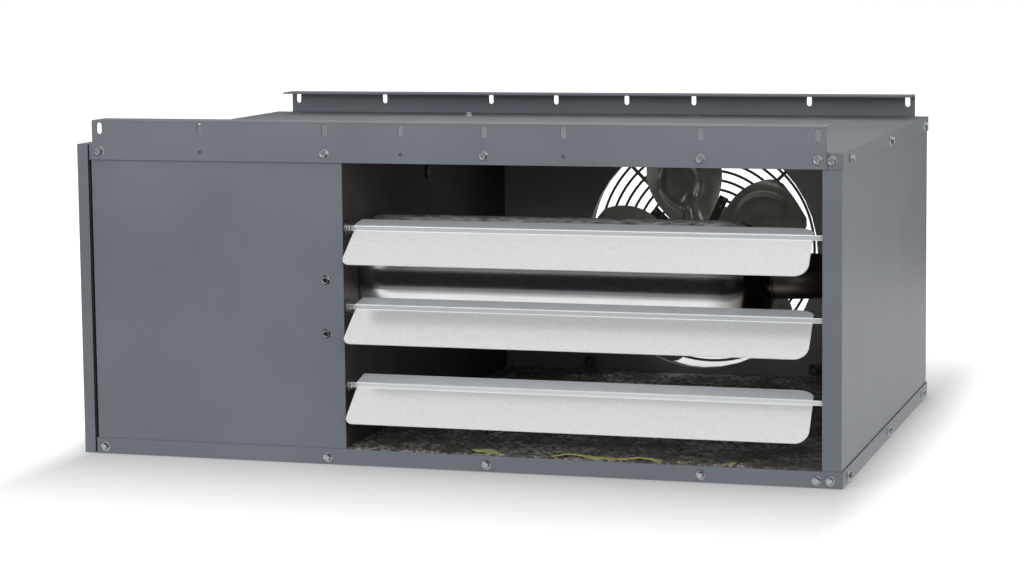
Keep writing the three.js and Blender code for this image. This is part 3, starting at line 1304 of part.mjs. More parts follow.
// A shallow plastic tray on the partition, with four posts that hold the board.
function boardTray() {
  const [deep, high] = BOARD_SIZE;
  const [y, z] = [BACK - BOARD_PLACE[0], BOARD_PLACE[1]];
  const rim = TRAY_WALL + SEAT_GAP;
  const outside = rectangle(y - rim, y + deep + rim, z - rim, z + high + rim);
  const inside = rectangle(y - SEAT_GAP, y + deep + SEAT_GAP, z - SEAT_GAP, z + high + SEAT_GAP);
  const floor = prism(outside, "x", WALL_FACE - TRAY_WALL, WALL_FACE);
  const wall = prism(outside, "x", WALL_FACE - TRAY_WALL - BOARD_STANDOFF, WALL_FACE, [inside]);
  const posts = [];
  for (const dy of [POST_INSET, deep - POST_INSET]) {
    for (const dz of [POST_INSET, high - POST_INSET]) {
      const from = WALL_FACE - TRAY_WALL - BOARD_STANDOFF + SEAT_GAP;
      posts.push(rod("x", y + dy, z + dz, POST_R, from, WALL_FACE - WELD, SLOT_ROUND));
    }
  }
  return joined([floor, wall, ...posts]);
}

function controlBoard() {
  const [deep, high, thick] = BOARD_SIZE;
  const [y, z] = [BACK - BOARD_PLACE[0], BOARD_PLACE[1]];
  const right = WALL_FACE - TRAY_WALL - BOARD_STANDOFF;
  const left = right - thick;
  const board = slab(left, right, y, y + deep, z, z + high);
  const block = ([wide, tall, proud], dy, dz) =>
    slab(left - proud, left + SEAT_GAP, y + dy, y + dy + wide, z + dz, z + dz + tall);
  const upper = high / 2 + BOARD_EDGE;
  const chipAt = deep - CHIP[0] - 2 * BOARD_EDGE;
  return joined([
    board,
    block(RELAY, BOARD_EDGE, BOARD_EDGE),
    block(RELAY, RELAY[0] + 2 * BOARD_EDGE, BOARD_EDGE),
    block(TERMINALS, BOARD_EDGE, upper),
    block(CHIP, chipAt, BOARD_EDGE),
    block(TERMINALS, BOARD_EDGE, upper + 2 * TERMINALS[1]),
  ]);
}

function transformer() {
  const [thick, deep, high] = TRANSFORMER_SIZE;
  const [y, z] = [BACK - TRANSFORMER_PLACE[0], TRANSFORMER_PLACE[1]];
  const foot = slab(WALL_FACE - SHEET, WALL_FACE, y - FOOT_REACH, y + deep + FOOT_REACH, z, z + high);
  const core = slab(WALL_FACE - thick, WALL_FACE, y, y + deep, z, z + high);
  const [left, right] = [WALL_FACE - thick + LAMINATION, WALL_FACE - LAMINATION];
  const [low, top] = [z - WINDING_PROUD, z + high + WINDING_PROUD];
  const coil = slab(left, right, y + WINDING_INSET, y + deep - WINDING_INSET, low, top);
  return joined([foot, core, coil]);
}

// A snap disc whose sensing face looks into the air stream through the partition.
function limitSwitch() {
  const [y, z] = limitPlace();
  return turned(
    [
      [0, WALL_FACE - LIMIT_BODY],
      [LIMIT_BODY_R, WALL_FACE - LIMIT_BODY],
      [LIMIT_BODY_R, WALL_FACE - LIMIT_FLANGE],
      [LIMIT_R, WALL_FACE - LIMIT_FLANGE],
      [LIMIT_R, WALL_FACE],
      [LIMIT_BODY_R, WALL_FACE],
      [LIMIT_BODY_R, PARTITION_RIGHT + LIMIT_DISC],
      [0, PARTITION_RIGHT + LIMIT_DISC],
    ],
    "x",
    y,
    z,
    LIMIT_SIDES,
  );
}

function bushingX() {
  return LEFT + JUNCTION_FROM_LEFT + JUNCTION_SIZE[0] / 2;
}

function bushingZ() {
  return JUNCTION_Z + JUNCTION_SIZE[2] / 2;
}

// A box for the mains terminals on the rear panel, open towards the access door.
function junctionBox() {
  const [wide, deep, high] = JUNCTION_SIZE;
  const back = PANEL_BACK - SHEET - SEAT_GAP;
  const x0 = LEFT + JUNCTION_FROM_LEFT;
  const t = JUNCTION_SHEET;
  const outside = slab(x0, x0 + wide, back - deep, back, JUNCTION_Z, JUNCTION_Z + high);
  const [low, top] = [JUNCTION_Z + t, JUNCTION_Z + high - t];
  const inside = slab(x0 - WELD, x0 + wide - t, back - deep + t, back - t, low, top);
  const entry = rod("y", bushingX(), bushingZ(), BUSHING_R, back - BORE_REACH, back + WELD, ROUND);
  return outside.subtract(inside).subtract(entry);
}

function cableBushing() {
  const back = PANEL_BACK + SEAT_GAP;
  const inner = PANEL_BACK - SHEET - SEAT_GAP - JUNCTION_SHEET - BUSHING_INSIDE;
  const bore = BUSHING_R - BUSHING_WALL;
  return turned(
    [
      [bore, inner],
      [BUSHING_R - SEAT_GAP, inner],
      [BUSHING_R - SEAT_GAP, back],
      [BUSHING_FLANGE_R, back],
      [BUSHING_FLANGE_R, back + BUSHING_WALL],
      [bore, back + BUSHING_WALL],
    ],
    "y",
    bushingX(),
    bushingZ(),
    MIDDLE_ROUND,
  );
}

function buildControls() {
  add("board_tray", boardTray(), "darkPlastic");
  add("control_board", controlBoard(), "greenBoard");
  add("transformer", transformer(), "blackSteel");
  add("limit_switch", limitSwitch(), "paleCeramic");
  add("junction_box", junctionBox(), "galvanised");
  add("cable_bushing", cableBushing(), "darkPlastic");
}

buildCase();
buildInsulation();
buildLouvers();
buildFan();
buildHeatExchanger();
buildBurner();
buildInducer();
buildControls();

export default heater;
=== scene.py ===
# %% [markdown]
# # A ceiling-hung gas fan heater
# The real object is a low box of folded sheet steel that hangs from two slotted brackets. A fan at the back
# blows room air over a closed steel drum, in which a gas flame burns, and out past three bright louvers.
# This lesson dresses the measured frame of that heater: it gives every part its real surface, swaps the
# flat-sided solids for round and softly bent ones, and adds the screws, seams and folds that make sheet
# metal look real.

import json
from math import atan2, cos, degrees, hypot, pi, radians, sin

import bmesh
import bpy
from mathutils import Matrix, Vector, noise

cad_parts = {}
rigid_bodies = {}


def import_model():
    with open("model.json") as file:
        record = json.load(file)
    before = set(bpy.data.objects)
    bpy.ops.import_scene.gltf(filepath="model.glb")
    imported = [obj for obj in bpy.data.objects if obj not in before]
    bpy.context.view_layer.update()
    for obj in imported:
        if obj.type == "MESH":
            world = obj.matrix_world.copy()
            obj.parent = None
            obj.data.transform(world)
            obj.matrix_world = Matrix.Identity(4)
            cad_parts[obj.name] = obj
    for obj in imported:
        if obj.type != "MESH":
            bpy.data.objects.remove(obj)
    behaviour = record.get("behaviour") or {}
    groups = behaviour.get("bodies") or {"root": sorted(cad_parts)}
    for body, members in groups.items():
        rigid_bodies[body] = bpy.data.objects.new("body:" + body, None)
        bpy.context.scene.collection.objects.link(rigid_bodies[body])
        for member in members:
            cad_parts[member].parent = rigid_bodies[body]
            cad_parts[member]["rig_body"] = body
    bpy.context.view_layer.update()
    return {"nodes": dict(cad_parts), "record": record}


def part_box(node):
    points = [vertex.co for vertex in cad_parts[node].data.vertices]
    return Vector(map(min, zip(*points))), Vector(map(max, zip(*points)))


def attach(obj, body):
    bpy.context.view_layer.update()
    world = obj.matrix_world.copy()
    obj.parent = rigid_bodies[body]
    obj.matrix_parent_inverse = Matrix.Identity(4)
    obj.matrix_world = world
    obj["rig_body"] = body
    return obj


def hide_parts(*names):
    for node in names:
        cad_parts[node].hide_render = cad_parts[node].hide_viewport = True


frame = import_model()
NODES = frame["nodes"]
MM = 0.001

# %% [markdown]
# ## Camera
# The photograph was taken from the front and a little to the right, about half a metre above the floor
# that the heater stands on, with a long lens: the edges that run back hardly converge. The place, the
# turn and the focal length below were solved from the corners, slots and screws in the picture. The lens
# is in pixels of a picture 1024 wide, and Blender wants it in millimetres on a 36 mm sensor. The heater
# sits high in the frame while its upright edges stay nearly parallel, which a small vertical shift of the
# sensor gives.

# %% Camera
PICTURE_WIDTH = 1024
SENSOR_WIDTH = 36.0
CAMERA_MM = (902.6, -3002.0, 561.2)
CAMERA_YAW = 17.15
CAMERA_PITCH = -5.99
CAMERA_ROLL = -0.63
CAMERA_RISE = -0.06
FOCAL_PIXELS = 2665.1

camera_data = bpy.data.cameras.new("camera")
camera_data.sensor_width = SENSOR_WIDTH
camera_data.lens = FOCAL_PIXELS / PICTURE_WIDTH * SENSOR_WIDTH
camera_data.shift_y = CAMERA_RISE
camera_data.clip_start = 0.05
camera = bpy.data.objects.new("camera", camera_data)
bpy.context.scene.collection.objects.link(camera)
yaw = Matrix.Rotation(radians(CAMERA_YAW), 4, "Z")
pitch = Matrix.Rotation(radians(90 + CAMERA_PITCH), 4, "X")
roll = Matrix.Rotation(radians(CAMERA_ROLL), 4, "Z")
camera.matrix_world = Matrix.Translation(Vector(CAMERA_MM) * MM) @ yaw @ pitch @ roll
bpy.context.scene.camera = camera
print("lens", round(camera_data.lens, 1), "mm")

# %% [markdown]
# ## Small helpers
# A material here is a Principled shader with a few nodes in front of it. One helper adds a node, sets its
# values and links its inputs, by name or, where a Math or Mix node repeats a name, by number. Another turns
# a hex colour as one reads it on a screen into the linear numbers that the shader wants. Every pattern
# reads Object coordinates, which are metres, so a grain of half a millimetre is a noise scale of one over
# 0.0005.

# %% Colour and node helpers
def linear(hex_colour):
    """A screen colour such as '#6b7077' as linear red, green, blue and alpha."""
    values = [int(hex_colour[i : i + 2], 16) / 255 for i in (1, 3, 5)]
    return [v / 12.92 if v <= 0.04045 else ((v + 0.055) / 1.055) ** 2.4 for v in values] + [1.0]


def add_node(material, kind, inputs=None, **settings):
    """Adds a shader node. A value in inputs that is a node's output socket is linked; any other is set."""
    tree = material.node_tree
    made = tree.nodes.new(kind)
    for key, value in settings.items():
        setattr(made, key, value)
    for key, value in (inputs or {}).items():
        if isinstance(value, bpy.types.NodeSocket):
            tree.links.new(value, made.inputs[key])
        else:
            made.inputs[key].default_value = value
    return made


def per_mm(size_mm):
    """The noise scale whose grain is about size_mm wide."""
    return 1.0 / (size_mm * MM)


def corners(node):
    """A measured node's lowest and highest corners, in millimetres."""
    return tuple(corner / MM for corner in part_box(node))


def joint_place(joint):
    """The point that a joint turns about, in millimetres."""
    found = next(j for j in frame["record"]["behaviour"]["joints"] if j["name"] == joint)
    return Vector(found["pos_m"]) / MM


# %% [markdown]
# ## A base for most finishes
# Paint, plating and moulded plastic have the same make-up: two close tones that drift into each other, a
# gloss that is not even, and a fine relief. The function below builds that. Each material then gets the
# numbers of the real finish, and the ones that need more get it afterwards.

# %% Surface builder
MATERIALS = {}
# Nearly all of a noise lies between these two values.
NOISE_LOW, NOISE_HIGH = 0.35, 0.65
# The sockets that a Mix node uses for colours.
MIX_SHARE, MIX_FIRST, MIX_SECOND, MIXED = 0, 6, 7, 2


def surface(name, tones, drift_mm, grain_mm, relief_mm, gloss, stretch=(1, 1, 1), **constants):
    """A material from two tones, the size of their drift, a relief and a range of roughness."""
    material = bpy.data.materials.new(name)
    material.use_nodes = True
    shader = material.node_tree.nodes["Principled BSDF"]
    for key, value in constants.items():
        shader.inputs[key.replace("_", " ")].default_value = value
    place = add_node(material, "ShaderNodeTexCoord").outputs["Object"]
    place = add_node(material, "ShaderNodeMapping", {"Vector": place, "Scale": stretch}).outputs["Vector"]
    drift_inputs = {"Vector": place, "Scale": per_mm(drift_mm), "Detail": 4.0}
    drift = add_node(material, "ShaderNodeTexNoise", drift_inputs)
    grain_inputs = {"Vector": place, "Scale": per_mm(grain_mm), "Detail": 2.0}
    grain = add_node(material, "ShaderNodeTexNoise", grain_inputs)
    patches = {"Value": drift.outputs["Fac"], "From Min": NOISE_LOW, "From Max": NOISE_HIGH}
    blend = add_node(material, "ShaderNodeMapRange", patches)
    mixed = {MIX_SHARE: blend.outputs[0], MIX_FIRST: linear(tones[0]), MIX_SECOND: linear(tones[1])}
    colour = add_node(material, "ShaderNodeMix", mixed, data_type="RGBA")
    tree = material.node_tree
    tree.links.new(colour.outputs[MIXED], shader.inputs["Base Color"])
    gloss_range = {"Value": grain.outputs["Fac"], "To Min": gloss[0], "To Max": gloss[1]}
    rough = add_node(material, "ShaderNodeMapRange", gloss_range)
    tree.links.new(rough.outputs[0], shader.inputs["Roughness"])
    bump_inputs = {"Height": grain.outputs["Fac"], "Distance": relief_mm * MM, "Strength": 1.0}
    bump = add_node(material, "ShaderNodeBump", bump_inputs)
    tree.links.new(bump.outputs["Normal"], shader.inputs["Normal"])
    MATERIALS[name] = material
    return material


# %% [markdown]
# ## Painted sheet steel
# The case is galvanised steel with a baked polyester coat in a mid blue-grey. Baked paint has a very slight
# orange peel, a few millimetres across, which softens its highlights. The bumps are only microns high. The
# colour is the one that reads in the evenly lit middle of the photograph's front panel. Inside, the
# partition is brown, the fan panel grey and the wires black, and all three are plainer finishes that nobody
# was meant to look at.

# %% Case finishes
# Baked polyester paint: an even satin whose highlights are soft.
surface(
    "baked_polyester_paint",
    ("#6a6f76", "#6f747b"),
    drift_mm=90,
    grain_mm=2.5,
    relief_mm=0.012,
    gloss=(0.36, 0.46),
    Specular_IOR_Level=0.35,
    IOR=1.5,
)
# The partition's coated steel has gone brown from heat. Its sheen is dull and a little metallic.
surface(
    "brown_black_coated_steel",
    ("#504b47", "#45403c"),
    drift_mm=60,
    grain_mm=3,
    relief_mm=0.02,
    gloss=(0.34, 0.5),
    Metallic=0.35,
)
# Grey enamel on the fan panel: darker and flatter than the paint outside.
surface(
    "dark_grey_enamel",
    ("#9c9ca0", "#a6a6aa"),
    drift_mm=70,
    grain_mm=2.5,
    relief_mm=0.012,
    gloss=(0.4, 0.5),
    IOR=1.5,
)
# Satin black enamel, dipped, on wires and motor: it shows as dark grey with soft edges.
surface(
    "satin_black_enamel",
    ("#3e3d3e", "#464546"),
    drift_mm=50,
    grain_mm=1.5,
    relief_mm=0.015,
    gloss=(0.38, 0.5),
    IOR=1.5,
)
print("case finishes:", ", ".join(MATERIALS))

# %% [markdown]
# ## Bare and plated metals
# Greys that must not be mistaken for each other. The louvers are bright aluminium-coated sheet with a
# smooth, satin face. The drum is aluminised steel, which mirrors. Galvanised steel is dull and blotchy, and
# zinc plating is fine and hard. Rolled sheet keeps faint lines along its length, so those grains are
# stretched in X. The dusty or coated ones are less than fully metallic, because a film on a metal scatters
# light as paint does.

# %% Metal finishes
# Hot-dip aluminium coat: a fine spangle, drawn coarser than the real one so that it shows.
surface(
    "aluminium_coated_sheet",
    ("#e6e7e7", "#d5d6d7"),
    drift_mm=1.3,
    grain_mm=0.8,
    relief_mm=0.01,
    gloss=(0.16, 0.26),
    Metallic=0.35,
)
# The same coat, paler and cooler: a painted highlight on the folds and a painted reflection on the upper
# wing. It is also smoother.
surface(
    "aluminium_painted_highlight",
    ("#f6faff", "#ecf1f7"),
    drift_mm=5,
    grain_mm=1.0,
    relief_mm=0.004,
    gloss=(0.2, 0.3),
    stretch=(0.2, 1, 1),
    Metallic=0.2,
)
# Rolled aluminised steel, nearly a mirror, with its grain along the drum.
surface(
    "aluminised_steel_drum",
    ("#dadada", "#cdcdcd"),
    drift_mm=55,
    grain_mm=2.2,
    relief_mm=0.01,
    gloss=(0.13, 0.22),
    stretch=(0.3, 1, 1),
    Metallic=1.0,
)
# Galvanised steel: dull grey with blotches a few millimetres wide.
surface(
    "galvanised_steel",
    ("#b4b7b8", "#989c9f"),
    drift_mm=7,
    grain_mm=1.2,
    relief_mm=0.01,
    gloss=(0.34, 0.5),
    Metallic=0.9,
)
# Bright zinc on screws: smooth and hard, with sharp glints.
surface(
    "bright_zinc_plating",
    ("#a9acaf", "#92969a"),
    drift_mm=3,
    grain_mm=0.5,
    relief_mm=0.004,
    gloss=(0.2, 0.32),
    Metallic=1.0,
)
# Drawn spring wire: bright, with darker streaks.
surface(
    "spring_steel",
    ("#8f9294", "#6d7072"),
    drift_mm=2,
    grain_mm=0.4,
    relief_mm=0.003,
    gloss=(0.22, 0.34),
    Metallic=1.0,
)
# Blackened steel on the square nuts: oily and dark at the edges of its glints.
surface(
    "blackened_steel",
    ("#9a9b9d", "#7f8082"),
    drift_mm=3,
    grain_mm=0.5,
    relief_mm=0.01,
    gloss=(0.18, 0.3),
    Metallic=0.9,
)
# Steel that runs hot turns straw and brown. It keeps a soft metallic sheen.
surface(
    "heat_tinted_steel",
    ("#57504a", "#46403b"),
    drift_mm=22,
    grain_mm=1.6,
    relief_mm=0.02,
    gloss=(0.34, 0.5),
    stretch=(0.4, 1, 1),
    Metallic=0.9,
)
# Pressed aluminium under a film of dust, which makes it warm and half matt.
surface(
    "pressed_aluminium_fan",
    ("#d6d3c7", "#bcb9ad"),
    drift_mm=18,
    grain_mm=1.0,
    relief_mm=0.01,
    gloss=(0.16, 0.26),
    Metallic=0.3,
)
# Die-cast aluminium: matt, with the mould's fine skin.
surface(
    "die_cast_aluminium",
    ("#9ea1a3", "#8c8f92"),
    drift_mm=12,
    grain_mm=0.7,
    relief_mm=0.03,
    gloss=(0.42, 0.58),
    Metallic=0.9,
)
# Turned brass: yellow, with a fine regular shine.
surface(
    "turned_brass",
    ("#c2a35c", "#ab8a45"),
    drift_mm=6,
    grain_mm=0.4,
    relief_mm=0.004,
    gloss=(0.2, 0.34),
    Metallic=1.0,
)
print(len(MATERIALS), "finishes so far")

# %% [markdown]
# ## Plastic, ceramic, rubber and blanket
# The controls behind the front cover are never bare metal: dark moulded nylon, a green glass-epoxy board,
# white glazed steatite on the electrodes, red-brown silicone tube and black foam. The floor of the air
# passage is lined with a glass-fibre blanket whose dark foil face is creased all over, and whose cut edge
# shows yellow fibres.

# %% Other finishes
# Moulded nylon: charcoal, with a fine even grain.
surface(
    "moulded_black_nylon",
    ("#232427", "#2b2c2f"),
    drift_mm=10,
    grain_mm=0.6,
    relief_mm=0.02,
    gloss=(0.42, 0.55),
    IOR=1.53,
)
# Glazed steatite, a ceramic: warm white under a clear glassy coat.
surface(
    "glazed_steatite",
    ("#e9e5da", "#dfd9cb"),
    drift_mm=5,
    grain_mm=1.0,
    relief_mm=0.004,
    gloss=(0.12, 0.2),
    IOR=1.6,
    Coat_Weight=0.4,
)
# Glass-epoxy board: green lacquer with the weave just showing.
surface(
    "glass_epoxy_board",
    ("#2d6a43", "#27603c"),
    drift_mm=2,
    grain_mm=0.8,
    relief_mm=0.01,
    gloss=(0.25, 0.35),
    IOR=1.55,
    Coat_Weight=0.3,
)
# Closed-cell foam: nearly black and quite matt.
surface(
    "closed_cell_foam",
    ("#1b1b1d", "#242426"),
    drift_mm=3,
    grain_mm=0.8,
    relief_mm=0.15,
    gloss=(0.75, 0.9),
    IOR=1.45,
)
# Extruded silicone: brick red, with a soft shine.
surface(
    "silicone_tube",
    ("#b04a30", "#a34129"),
    drift_mm=8,
    grain_mm=1.0,
    relief_mm=0.01,
    gloss=(0.4, 0.5),
    IOR=1.43,
)
# Aluminium foil, dulled by dust: the dark tone is the foil and its painted shade, the light tone a painted
# glint on facets that face the light.
surface(
    "foil_blanket_painted_glints",
    ("#86837c", "#f6f4ee"),
    drift_mm=14,
    grain_mm=2.4,
    relief_mm=0.3,
    gloss=(0.12, 0.3),
    Metallic=0.55,
)
# Glass fibre: dull straw-yellow threads, long in X.
surface(
    "yellow_glass_fibre",
    ("#c9c57e", "#98944e"),
    drift_mm=2,
    grain_mm=0.5,
    relief_mm=0.3,
    gloss=(0.7, 0.9),
    stretch=(0.15, 1, 1),
)
print(len(MATERIALS), "finishes in all")

# %% [markdown]
# ### Creases in the foil
# Foil that has been handled is not smoothly wavy: it is broken into flat facets that meet in sharp creases.
# A Voronoi pattern's cell distance has just that shape. It is added under the fine relief, so light breaks
# up in glints of a few millimetres. Facets that face the light look bright and their neighbours dark, and a
# second, finer pattern paints that in as well: it picks one of the two tones for each cell, the light one a
# painted glint and the dark one painted shade, with more glints in some places than in others.

# %% Foil creases
def place_of(material):
    """The output that tells a material's patterns where they are."""
    return next(n for n in material.node_tree.nodes if n.bl_idname == "ShaderNodeMapping").outputs["Vector"]


def base_mix(material):
    """The node that mixes a material's two tones."""
    return next(n for n in material.node_tree.nodes if n.bl_idname == "ShaderNodeMix")


def crease(material, cell_mm, height_mm):
    """Adds sharp-edged facets beneath a material's fine relief. A noise makes them differ in size."""
    place = place_of(material)
    fine = next(n for n in material.node_tree.nodes if n.bl_idname == "ShaderNodeBump")
    bend_inputs = {"Vector": place, "Scale": per_mm(cell_mm * 2), "Detail": 3.0}
    bend = add_node(material, "ShaderNodeTexNoise", bend_inputs).outputs["Color"]
    swing = {0: bend, 1: (cell_mm * MM,) * 3}
    swing = add_node(material, "ShaderNodeVectorMath", swing, operation="MULTIPLY").outputs[0]
    moved = {0: place, 1: bend, 2: swing}
    moved = add_node(material, "ShaderNodeVectorMath", moved, operation="MULTIPLY_ADD").outputs[0]
    cell_inputs = {"Vector": moved, "Scale": per_mm(cell_mm)}
    cells = add_node(material, "ShaderNodeTexVoronoi", cell_inputs, feature="F1")
    coarse_inputs = {"Height": cells.outputs["Distance"], "Distance": height_mm * MM}
    coarse = add_node(material, "ShaderNodeBump", coarse_inputs)
    material.node_tree.links.new(coarse.outputs["Normal"], fine.inputs["Normal"])


def painted_facet_glints(material, cell_mm, share, softness=0.2, area_cells=12):
    """Paints glints: each small facet of a crumpled sheet takes a tone, the light one, a painted glint, for
    this share of them at most.
    """
    place = place_of(material)
    cell_inputs = {"Vector": place, "Scale": per_mm(cell_mm)}
    cells = add_node(material, "ShaderNodeTexVoronoi", cell_inputs, feature="F1")
    picked = add_node(material, "ShaderNodeSeparateColor", {"Color": cells.outputs["Color"]}).outputs["Red"]
    edge = {"Value": picked, "From Min": 1 - share - softness, "From Max": 1 - share + softness}
    glint_pick = add_node(material, "ShaderNodeMapRange", edge).outputs[0]
    area_inputs = {"Vector": place, "Scale": per_mm(cell_mm * area_cells), "Detail": 3.0}
    area = add_node(material, "ShaderNodeTexNoise", area_inputs).outputs["Fac"]
    glint_strength = {"Value": area, "From Min": 0.4, "From Max": 0.62, "To Min": 0.15, "To Max": 1.0}
    glint_strength = add_node(material, "ShaderNodeMapRange", glint_strength).outputs[0]
    both = add_node(material, "ShaderNodeMath", {0: glint_pick, 1: glint_strength}, operation="MULTIPLY").outputs[0]
    # Each facet's tone is painted: the light ones are painted glints, the dark ones painted shade.
    material.node_tree.links.new(both, base_mix(material).inputs[MIX_SHARE])


crease(MATERIALS["foil_blanket_painted_glints"], cell_mm=9, height_mm=3.0)
painted_facet_glints(MATERIALS["foil_blanket_painted_glints"], cell_mm=4.0, share=0.55)
crease(MATERIALS["galvanised_steel"], cell_mm=9, height_mm=0.02)
print("creased the foil and the galvanising")

# %% [markdown]
# ### Dust and heat on the drum
# The drum's back has gathered dust where it faces up, so it mirrors less there, in streaks. Both its ends
# are hot in use, the left one from the burner and the right one from the gas that turns back, and a hot
# steel skin goes brown. The dust follows the direction that the surface faces, and the brown follows the
# place along X.

# %% Dust and heat
DRUM_CLEAN_FROM, DRUM_CLEAN_TO, DRUM_FADE = -100, 268, 40
DUSTY_METALLIC = 0.1


def settled_dust(material, from_up, streak_mm):
    """Dulls a metal where it faces upwards, in streaks, as dust and handling do."""
    shader = material.node_tree.nodes["Principled BSDF"]
    normal = add_node(material, "ShaderNodeNewGeometry").outputs["Normal"]
    up = add_node(material, "ShaderNodeSeparateXYZ", {"Vector": normal}).outputs["Z"]
    facing = {"Value": up, "From Min": from_up, "From Max": from_up + 0.2}
    facing = add_node(material, "ShaderNodeMapRange", facing).outputs[0]
    streak_inputs = {"Vector": place_of(material), "Scale": per_mm(streak_mm), "Detail": 5.0}
    streak = add_node(material, "ShaderNodeTexNoise", streak_inputs).outputs["Fac"]
    thick = {"Value": streak, "From Min": 0.35, "From Max": 0.6, "To Min": 0.25, "To Max": 1.0}
    thick = add_node(material, "ShaderNodeMapRange", thick).outputs[0]
    dust = add_node(material, "ShaderNodeMath", {0: facing, 1: thick}, operation="MULTIPLY").outputs[0]
    clean = shader.inputs["Metallic"].default_value
    shine = {"Value": dust, "To Min": clean, "To Max": DUSTY_METALLIC}
    shine = add_node(material, "ShaderNodeMapRange", shine).outputs[0]
    material.node_tree.links.new(shine, shader.inputs["Metallic"])


def heat_tint(material, left_mm, right_mm, fade_mm, hex_colour):
    """Browns a metal beyond two places along X, where the flame and the hot gas meet it."""
    place = add_node(material, "ShaderNodeTexCoord").outputs["Object"]
    along = add_node(material, "ShaderNodeSeparateXYZ", {"Vector": place}).outputs["X"]
    before = {"Value": along, "From Min": left_mm * MM, "From Max": (left_mm - fade_mm) * MM}
    beyond = {"Value": along, "From Min": right_mm * MM, "From Max": (right_mm + fade_mm) * MM}
    ends = [add_node(material, "ShaderNodeMapRange", span).outputs[0] for span in (before, beyond)]
    hot = add_node(material, "ShaderNodeMath", {0: ends[0], 1: ends[1]}, operation="MAXIMUM").outputs[0]
    tinted = {MIX_SHARE: hot, MIX_FIRST: base_mix(material).outputs[MIXED], MIX_SECOND: linear(hex_colour)}
    tinted = add_node(material, "ShaderNodeMix", tinted, data_type="RGBA").outputs[MIXED]
    shader = material.node_tree.nodes["Principled BSDF"]
    material.node_tree.links.new(tinted, shader.inputs["Base Color"])


settled_dust(MATERIALS["aluminised_steel_drum"], from_up=0.72, streak_mm=5)
heat_tint(MATERIALS["aluminised_steel_drum"], DRUM_CLEAN_FROM, DRUM_CLEAN_TO, DRUM_FADE, "#3f3832")
print("dusted the drum and browned its ends")

# %% [markdown]
# ## Turning frame nodes into softer pieces
# The measured nodes have knife edges. Real folded sheet has a small radius at every bend, and a cut edge
# that is slightly rounded, and both catch the light as a thin line. One helper copies a node, merges its
# loose triangles, joins the flat ones, and bevels what is left by a fraction of the sheet's thickness. The
# node itself is only hidden, never changed. The small helpers below round edges, make a block, and finish
# every piece in the same way.

# %% Helpers that make pieces
WELD_DISTANCE = 1e-6
CUT_EDGE_ANGLE = radians(60)


def finish_mesh(bm, name, material, body, smooth_angle=35, edge_mm=0.0):
    """Turns a bmesh into a shaded object in place, riding on a body, with any edge rounding last."""
    mesh = bpy.data.meshes.new(name)
    bm.to_mesh(mesh)
    bm.free()
    mesh.shade_smooth()
    mesh.set_sharp_from_angle(angle=radians(smooth_angle))
    piece = bpy.data.objects.new(name, mesh)
    bpy.context.scene.collection.objects.link(piece)
    mesh.materials.append(MATERIALS[material])
    if edge_mm:
        soft = piece.modifiers.new("cut_edge", "BEVEL")
        soft.width = edge_mm * MM
        soft.segments = 2
        soft.limit_method = "ANGLE"
        soft.angle_limit = CUT_EDGE_ANGLE
    even = piece.modifiers.new("even_faces", "WEIGHTED_NORMAL")
    even.keep_sharp = True
    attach(piece, body)
    return piece


def body_of(node):
    """The body that a node rides on."""
    return NODES[node]["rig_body"]


def sharp_edges(bm, least_angle=CUT_EDGE_ANGLE):
    """The edges at which two faces meet at more than an angle."""
    return [e for e in bm.edges if len(e.link_faces) == 2 and e.calc_face_angle(0) > least_angle]


def new_verts(made):
    """The vertices among the elements that an operator returned."""
    return [element for element in made if isinstance(element, bmesh.types.BMVert)]


def round_edges(bm, edges, width_mm, segments=2):
    """Rounds edges by a width in millimetres."""
    bmesh.ops.bevel(
        bm,
        geom=edges,
        offset=width_mm * MM,
        affect="EDGES",
        segments=segments,
        profile=0.5,
        material=-1,
        clamp_overlap=True,
    )


def block_into(bm, size, centre):
    """A block of a size in millimetres about a centre."""
    verts = bmesh.ops.create_cube(bm, size=1.0)["verts"]
    bmesh.ops.scale(bm, verts=verts, vec=Vector(size) * MM)
    bmesh.ops.translate(bm, verts=verts, vec=Vector(centre) * MM)
    return verts


def soften(node, material, width_mm=0.35):
    """A copy of a node with merged faces and rounded edges, which stands for it."""
    bm = bmesh.new()
    bm.from_mesh(NODES[node].data)
    bmesh.ops.remove_doubles(bm, verts=bm.verts, dist=0.00002)
    bmesh.ops.dissolve_limit(bm, angle_limit=radians(1.5), verts=bm.verts, edges=bm.edges)
    round_edges(bm, sharp_edges(bm, radians(30)), width_mm)
    piece = finish_mesh(bm, node + "_soft", material, body_of(node))
    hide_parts(node)


print("ready to soften, round and finish pieces")

# %% [markdown]
# ## The case panels
# The top and bottom are trays whose turned edges lap over the upright panels, and the screws go through
# those laps. All of them are the same painted sheet, except the fan panel and the partition, which are grey
# and dark brown where they face the air passage. Their shapes are right as measured, so they only need
# their edges rounded.

# %% Soft-edged case
PAINTED = (
    "top_panel",
    "bottom_panel",
    "right_side_panel",
    "front_cover",
    "control_rear_panel",
    "side_access_door",
)
for node in PAINTED:
    soften(node, "baked_polyester_paint", width_mm=0.5)
soften("partition_wall", "brown_black_coated_steel")
soften("fan_panel", "dark_grey_enamel")
print("softened", len(PAINTED) + 2, "panels")

# %% [markdown]
# ## Ceiling brackets
# Each bracket is a strip with upright slots near its top edge and a flange folded over the case. Slots have
# truly round ends, which the measured node only hints at. The strip is made as a flat outline with the
# slots' outlines in it, filled, and pulled out to its thickness. The flange is a block that overlaps the
# strip, and the fold between them is rounded. Small round holes near the lower edge are spare screw holes.

# %% Brackets
SLOT_WIDTH = 6.5
SLOT_HEIGHT = 13.0
SLOT_BELOW_TOP = 9.0
SLOT_FROM_END = 9.0
SLOT_SHARES = (0, 0.15, 0.331, 0.4395, 0.5556, 0.6642, 0.8475, 1)
SPARE_SHARES = (0.15, 0.4395, 0.6642)
SPARE_ABOVE_EDGE = 9.5
SPARE_WIDTH = 4.4
BRACKET_SHEET = 2.0
BEND_RADIUS = 1.9
RIM_ROUNDING = 0.25


